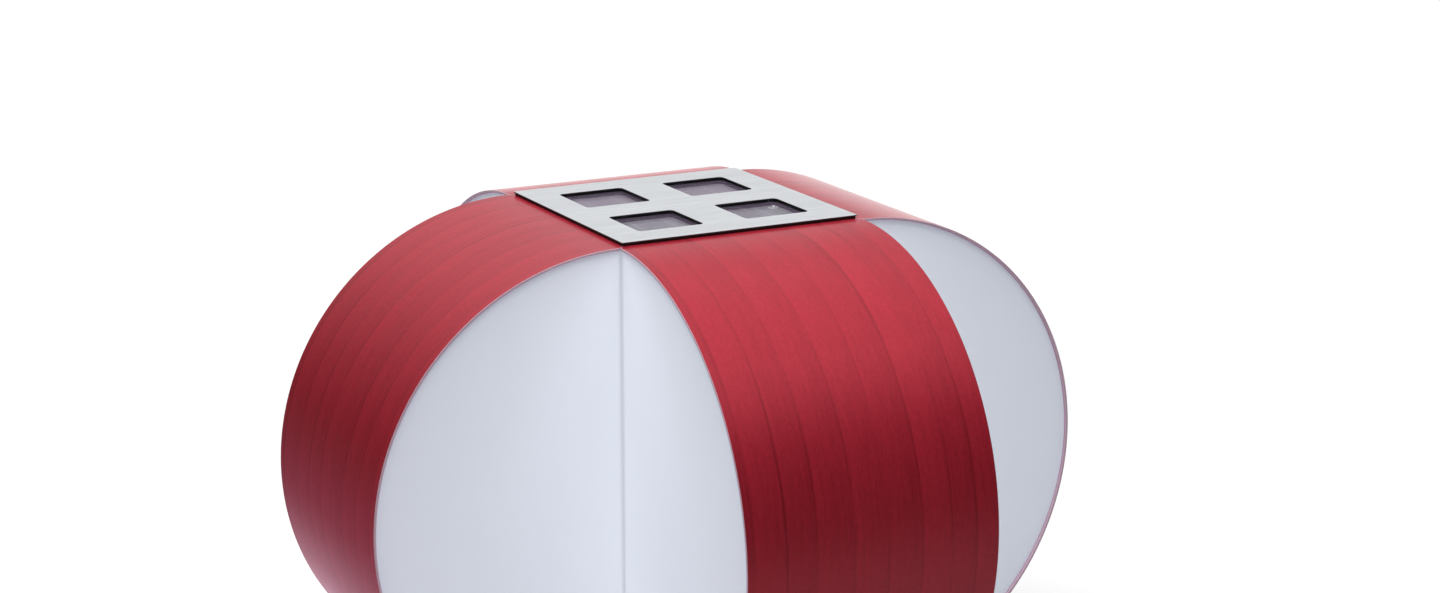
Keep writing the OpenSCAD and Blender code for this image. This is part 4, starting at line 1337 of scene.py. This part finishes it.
@dataclass
class BaseDetails(SubAssembly):
    """What shows under the base: feet, screws, and the button in its bush.

    The button's face is given by radius and height in millimetres, from its middle to its rim.
    """

    foot_r: float = 6.0 * MM
    foot_side_z: float = 1.0 * MM
    foot_ease: float = 0.35 * MM
    sole_r: float = 4.8 * MM
    ring_in_r: float = 2.2 * MM
    ring_out_r: float = 2.6 * MM
    ring_depth: float = 0.45 * MM
    foot_points: int = 48
    head_r: float = 2.75 * MM
    shank_r: float = 1.5 * MM
    dome_share: float = 0.55
    dome_power: int = 4
    cross_half: float = 0.42 * MM
    cross_reach: float = 1.65 * MM
    cross_depth: float = 1.1 * MM
    cross_slope: float = 0.12 * MM
    cross_end: float = 0.15 * MM
    head_share: float = 0.92
    head_rings: int = 40
    rim_share: float = 0.94
    rim_rings: int = 5
    screw_points: int = 96
    button_face: tuple[tuple[float, float], ...] = (
        (0.0, 0.5), (2.4, 0.38), (2.5, 0.62), (2.9, 0.62), (3.0, 0.28),
        (4.1, 0.1), (4.2, 0.36), (4.6, 0.36), (4.7, 0.0), (5.92, 0.35),
    )
    button_r: float = 5.92 * MM
    seal_r: float = 4.31 * MM
    seal_z: tuple[float, float] = (3.92 * MM, 6.08 * MM)
    stop_r: float = 7.32 * MM
    stop_h: float = 1.5 * MM
    button_ease: float = 0.16 * MM
    bore_r: float = 6.0 * MM
    bore_seam_z: float = 4.0 * MM
    bore_bevel: float = 0.25 * MM
    bush_r: float = 7.5 * MM
    bush_flange_h: float = 1.0 * MM
    bush_bevel: float = 0.45 * MM
    bush_ease: float = 0.08 * MM
    turned_points: int = 72

    def feet(self) -> Piece:
        """Four turned feet with an eased rim and a shallow ring in the sole.

        Returns:
            The piece.
        """
        lo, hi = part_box("rubber_feet")
        outline = np.array([
            (0.0, self.ring_depth), (self.ring_in_r, self.ring_depth), (self.ring_out_r, 0.0),
            (self.sole_r, 0.0), (self.foot_r, self.foot_side_z), (self.foot_r, hi.z), (0.0, hi.z),
        ])
        foot = turned_profile(eased(outline, self.foot_ease), self.foot_points)
        every = set_out(foot, ((1, 1), (-1, 1), (-1, -1), (1, -1)), hi.x - self.foot_r, lo.z)
        return make_piece("feet", every, Body.LAMP, "black_rubber", "rubber_feet")

    def screws(self) -> Piece:
        """Four pan-head screws, each a turned form whose head is sunk along a cross.

        The head's face is z = dome(r) + depth where |x| or |y| is under the cross's half width and r is under
        its reach, with a slope between.

        Returns:
            The piece.
        """
        lo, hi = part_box("base_screws")
        head_h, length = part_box("base_plate")[0].z - lo.z, hi.z - lo.z
        middle = np.linspace(0, self.head_share, self.head_rings)
        share = np.concatenate([middle, np.linspace(self.rim_share, 1.0, self.rim_rings)])[:, None]
        r, a = share * self.head_r, around(self.screw_points)
        x, y = r * np.cos(a), r * np.sin(a)
        narrow = np.minimum(np.abs(x), np.abs(y))
        sunk = np.clip((self.cross_half - narrow) / self.cross_slope, 0, 1)
        sunk = sunk * np.clip((self.cross_reach - r) / self.cross_end, 0, 1)
        z = self.dome_share * head_h * (r / self.head_r) ** self.dome_power + self.cross_depth * sunk
        face = np.stack([x, y, z], -1).reshape(-1, 3)
        rest = np.array([
            (self.head_r, head_h), (self.shank_r, head_h), (self.shank_r, length), (0.0, length),
        ])
        points = np.concatenate([face, turned_profile(rest, self.screw_points)[0]])
        screw = points, grid_quads(len(share) + len(rest), self.screw_points, closed=True)
        every = set_out(screw, ((1, 0), (0, 1), (-1, 0), (0, -1)), hi.x - self.head_r, lo.z)
        return make_piece("screws_base", every, Body.LAMP, "zinc", "base_screws")

    def turned_piece(self, name: str, outline: Array, ease: float, body: Body, slot: str, node: str) -> Piece:
        """A turned form that stands in the middle of its CAD node's box.

        Args:
            name: The piece's name.
            outline: Rows of radius and height.
            ease: How far its corners are eased.
            body: The body that carries it.
            slot: The record's material slot.
            node: The CAD node.

        Returns:
            The piece.
        """
        lo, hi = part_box(node)
        mid = (lo + hi) / 2
        points, quads = turned_profile(eased(outline, ease), self.turned_points)
        return make_piece(name, (points + np.array([mid.x, mid.y, lo.z]), quads), body, slot, node)

    def button(self) -> Piece:
        """The button: a dished face with two fine grooves, the seal's groove and the flange that stops it.

        Returns:
            The piece.
        """
        lo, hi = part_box("power_button")
        top = hi.z - lo.z
        stop_z = top - self.stop_h
        seal_low, seal_high = self.seal_z
        side = np.array([
            (self.button_r, seal_low), (self.seal_r, seal_low), (self.seal_r, seal_high),
            (self.button_r, seal_high), (self.button_r, stop_z), (self.stop_r, stop_z), (self.stop_r, top),
            (0.0, top),
        ])
        outline = np.concatenate([np.array(self.button_face) * MM, side])
        return self.turned_piece(
            "button", outline, self.button_ease, Body.BUTTON, "black_plastic", "power_button"
        )

    def bush(self) -> Piece:
        """The bush, turned with a bevelled flange.

        Returns:
            The piece.
        """
        lo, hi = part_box("button_bush")
        height, wide = hi.z - lo.z, hi.x - (lo.x + hi.x) / 2
        seam = (self.bore_r, self.bore_seam_z)
        outline = np.array([
            seam, (self.bore_r, self.bore_bevel), (self.bore_r + self.bore_bevel, 0.0),
            (wide - self.bush_bevel, 0.0), (wide, self.bush_bevel), (wide, self.bush_flange_h),
            (self.bush_r, self.bush_flange_h), (self.bush_r, height), (self.bore_r, height), seam,
        ])
        return self.turned_piece("bush", outline, self.bush_ease, Body.LAMP, "zinc", "button_bush")

    def build(self) -> list[Piece]:
        """Builds every piece under the base."""
        return [self.feet(), self.screws(), self.button(), self.bush()]


@dataclass
class ReturnSpring(SubAssembly):
    """The coil inside the switch."""

    low: Vector
    high: Vector
    travel: float
    wire_r: float = 0.3 * MM
    turns: int = 4
    turn_points: int = 40
    wire_points: int = 14

    @classmethod
    def from_frame(cls) -> "ReturnSpring":
        """Reads the coil's box from its CAD node and the travel from the button's joint.

        Returns:
            The spring.
        """
        joints = frame["record"]["behaviour"]["joints"]
        press = next(joint for joint in joints if joint["name"] == "button_press")
        return cls(*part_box("switch_spring"), press["range_m"][1])

    def build(self) -> list[Piece]:
        """Carries a round wire along a helix.

        The middle line is (R cos a, R sin a, z) with z rising evenly over the turns, and a ring lies at it
        plus w (cos b outwards + sin b upwards). Each end closes on its middle.

        Returns:
            The piece.
        """
        mid = (self.low + self.high) / 2
        radius = (self.high.x - self.low.x) / 2 - self.wire_r
        tall = self.high.z - self.low.z
        t = np.pad(np.linspace(0, 1, self.turns * self.turn_points + 1), 1, mode="edge")[:, None]
        wire = np.full_like(t, self.wire_r)
        wire[[0, -1]] = 0.0
        a, b = TURN * self.turns * t, around(self.wire_points)
        out = radius + wire * np.cos(b)
        z = self.low.z + self.wire_r + (tall - 2 * self.wire_r) * t + wire * np.sin(b)
        points = np.stack([mid.x + out * np.cos(a), mid.y + out * np.sin(a), z], -1).reshape(-1, 3)
        shell = points, grid_quads(*z.shape, closed=True)
        spring = make_piece("spring", shell, Body.LAMP, "spring_steel", "switch_spring")
        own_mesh(spring)
        return [spring]


@dataclass
class Studio:
    """The floor, the light and the camera of the photograph.

    Ramps of the world follow how far a ray points along a direction, and those of the floor a distance.
    """

    camera_place: Triple = (-0.45526, -0.89905, 0.42650)
    azimuth_deg: float = -27.691
    elevation_deg: float = 14.576
    focal_px: float = 2665.2
    image_w_px: float = 1440.0
    sensor_w_mm: float = 36.0
    clip: tuple[float, float] = (0.01, 50.0)
    softbox_place: Triple = (-0.21, -0.09, 1.45)
    softbox_aim: Triple = (0.0, 0.0, 0.15)
    softbox_size: tuple[float, float] = (1.9, 1.3)
    softbox_watts: float = 31.0
    sky: Colour = (0.97, 0.985, 1.0)
    ambient: float = 0.16
    up: Triple = (0.0, 0.0, 1.0)
    horizon_ramp: Ramp = (0.08, 0.28, 1.0, 0.0)
    ceiling_ramp: Ramp = (0.48, 0.82, 0.0, 1.05)
    zenith_ramp: Ramp = (0.90, 0.99, 1.0, 0.62)
    wall: Triple = (0.436, 0.831, 0.339)
    wall_ramp: Ramp = (0.55, 0.95, 0.025, 0.66)
    sweep: Triple = (0.8, 0.6, 0.0)
    sweep_span: tuple[float, float] = (0.5, 0.85)
    glare_span: tuple[float, float] = (0.5, 1.2)
    glare: float = 1.25
    floor_half: float = 6.0
    floor_drop: float = 0.2 * MM
    floor_points: int = 9
    near_tone: Colour = (0.36, 0.36, 0.365)
    far_tone: Colour = (0.08, 0.08, 0.08)
    far_ramp: Ramp = (0.25, 0.95, 0.0, 1.0)
    lift_ramp: Ramp = (0.0, 1.0, 0.66, 1.0)
    gloss_ramp: Ramp = (0.0, 0.6, 0.06, 0.02)
    under_ramp: Ramp = (0.05, 0.14, 0.6, 0.0)
    left: Triple = (-1.0, 0.0, 0.0)
    # painted reflection: pink on the floor's left, seen only in gloss, for the lamp's red bounce light
    blush: Colour = (0.86, 0.63, 0.77)
    painted_bounce_end: Colour = (0.35, 0.11, 0.19)
    painted_bounce_ramp: Ramp = (0.09, 0.24, 0.0, 1.0)
    mirror_ramp: Ramp = (0.03, 0.08, 0.0, 1.0)

    def camera(self) -> None:
        """Makes the camera, which looks down by its elevation from its azimuth round the lamp."""
        data = bpy.data.cameras.new("camera")
        data.sensor_width = self.sensor_w_mm
        data.lens = self.focal_px / self.image_w_px * self.sensor_w_mm
        data.clip_start, data.clip_end = self.clip
        a, e = math.radians(self.azimuth_deg), math.radians(self.elevation_deg)
        back = Vector((math.sin(a) * math.cos(e), -math.cos(a) * math.cos(e), math.sin(e)))
        camera = placed("camera", data)
        camera.location = self.camera_place
        camera.rotation_euler = (-back).to_track_quat("-Z", "Y").to_euler()
        bpy.context.scene.camera = camera

    def seen(self, net: Net, gloss: Any, soft: Any) -> Socket:
        """How strong a backdrop is: white for rays from the camera and through glass.

        Args:
            net: The net to add to.
            gloss: Its strength for rays from gloss.
            soft: Its strength for all other rays.

        Returns:
            The strength.
        """
        ray = net.add("LightPath")
        plain = net.maths("MAXIMUM", ray["Is Camera Ray"], ray["Is Transmission Ray"])
        other = net.maths("MAXIMUM", plain, soft)
        return net.add("Mix", {0: ray["Is Glossy Ray"], 2: other, 3: gloss}, data_type="FLOAT")[0]

    def world(self) -> None:
        """White where it is seen, dim in gloss but for pale walls and a ceiling, a soft light elsewhere."""
        world = bpy.data.worlds.new("studio")
        world.use_nodes = True
        net = Net(world.node_tree)
        way = net.add("TexCoord")["Generated"]
        height = net.along(way, self.up)
        wall = net.ranged(net.along(way, self.wall), self.wall_ramp)
        sweep = net.ranged(net.along(way, self.sweep), (*self.sweep_span, 0.0, self.glare))
        sweep = net.maths("MULTIPLY", net.ranged(height, self.horizon_ramp), sweep)
        ceiling, zenith = net.ranged(height, self.ceiling_ramp), net.ranged(height, self.zenith_ramp)
        above = net.maths("MULTIPLY", ceiling, zenith)
        gloss = net.maths("MAXIMUM", net.maths("MAXIMUM", wall, sweep), above)
        strength = self.seen(net, gloss, self.ambient)
        net.feed(net.tree.nodes["Background"], {"Color": self.sky, "Strength": strength})
        bpy.context.scene.world = world

    def floor_finish(self) -> Material:
        """Grey near the lamp and darker further off, white where it is seen, and clear from below.

        In gloss it shows a painted pink reflection of the lamp's red bounce light on its left, and a pale
        sweep far off.

        Returns:
            The material.
        """
        material = bpy.data.materials.new("pale_floor")
        material.use_nodes = True
        net = Net(material.node_tree)
        net.tree.nodes.remove(net.tree.nodes["Principled BSDF"])
        place = net.place()
        reach = net.add("VectorMath", {0: place}, operation="LENGTH")["Value"]
        aim = net.add("VectorMath", {0: place}, operation="NORMALIZE")[0]
        left = net.along(place, self.left)
        far = net.ranged(reach, self.far_ramp)
        # painted reflection of the lamp's red bounce light, shown only to glossy rays
        blush = net.mixed(net.ranged(left, self.painted_bounce_ramp), self.blush, self.painted_bounce_end)
        glossy = net.add("LightPath")["Is Glossy Ray"]
        mirrored = net.maths("MULTIPLY", net.ranged(left, self.mirror_ramp), glossy)
        near = net.mixed(mirrored, self.near_tone, blush)
        matt = net.add("BsdfDiffuse", {"Color": net.mixed(far, near, self.far_tone)})
        glare = net.ranged(reach, (*self.glare_span, 0.0, self.glare))
        sweep = net.ranged(net.along(aim, self.sweep), (*self.sweep_span, 0.0, 1.0))
        sweep = net.maths("MULTIPLY", glare, sweep)
        gloss = net.maths("MAXIMUM", net.ranged(far, self.gloss_ramp), sweep)
        strength = self.seen(net, gloss, net.ranged(reach, self.under_ramp))
        strength = net.maths("MULTIPLY", net.ranged(far, self.lift_ramp), strength)
        light = net.add("Emission", {"Color": (1.0, 1.0, 1.0), "Strength": strength})
        both = net.add("AddShader", {0: matt[0], 1: light[0]})
        below, clear = net.add("NewGeometry")["Backfacing"], net.add("BsdfTransparent")
        sided = net.add("MixShader", {"Fac": below, 1: both[0], 2: clear[0]})
        net.feed(net.tree.nodes["Material Output"], {"Surface": sided[0]})
        return material

    def floor(self) -> None:
        """A wide floor: a level grid a hair under the feet, which keeps the lamp's shadow."""
        side = np.linspace(-self.floor_half, self.floor_half, self.floor_points)
        points = raised(np.stack(np.meshgrid(side, side), -1), -self.floor_drop)
        mesh = bpy.data.meshes.new("floor")
        mesh.from_pydata(points.tolist(), [], grid_quads(len(side), len(side)).tolist())
        mesh.materials.append(self.floor_finish())
        floor = placed("floor", mesh)

    def softbox(self) -> None:
        """A wide soft light above the lamp and a little to its left, which gloss doesn't show."""
        data = bpy.data.lights.new("softbox", "AREA")
        data.shape = "RECTANGLE"
        data.size, data.size_y = self.softbox_size
        data.energy = self.softbox_watts
        light = placed("softbox", data)
        light.location = self.softbox_place
        way = Vector(self.softbox_aim) - Vector(self.softbox_place)
        light.rotation_euler = way.to_track_quat("-Z", "Y").to_euler()
        light.visible_glossy = False

    def build(self) -> None:
        """Makes the camera, the world, the floor and the light, with plain colour handling."""
        bpy.context.scene.view_settings.view_transform = "Standard"
        self.camera()
        self.world()
        self.floor()
        self.softbox()


def dress_nodes(materials: dict[str, Material]) -> None:
    """Gives each CAD node the finish of its slot in the record.

    Args:
        materials: A material for each slot.
    """
    for part in frame["record"]["subparts"]:
        for slot in frame["nodes"][part["node"]].material_slots:
            slot.material = materials[part["material_slot"]]
        LOG.info("%s: %s", part["node"], part["material_slot"])


def main() -> None:
    """Builds the studio and the lamp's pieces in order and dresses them."""
    logging.basicConfig(level=logging.INFO, format="%(message)s")
    Studio().build()
    parts: list[SubAssembly] = [
        *(VeneerBand.from_frame(side) for side in Side),
        *(OpalSheet.from_frame(corner) for corner in Corner),
        TopPlate.from_frame(),
        BaseDetails(),
        ReturnSpring.from_frame(),
    ]
    groups = Groups()
    materials = {slot: finish.make(groups) for slot, finish in FINISHES.items()}
    for part in parts:
        pieces = part.build()
        part.dress(pieces, materials)
        for piece in pieces:
            mesh = piece.data
            LOG.info("%s: %d points, %d faces", piece.name, len(mesh.vertices), len(mesh.polygons))
    dress_nodes(materials)


if __name__ == "__main__":
    main()
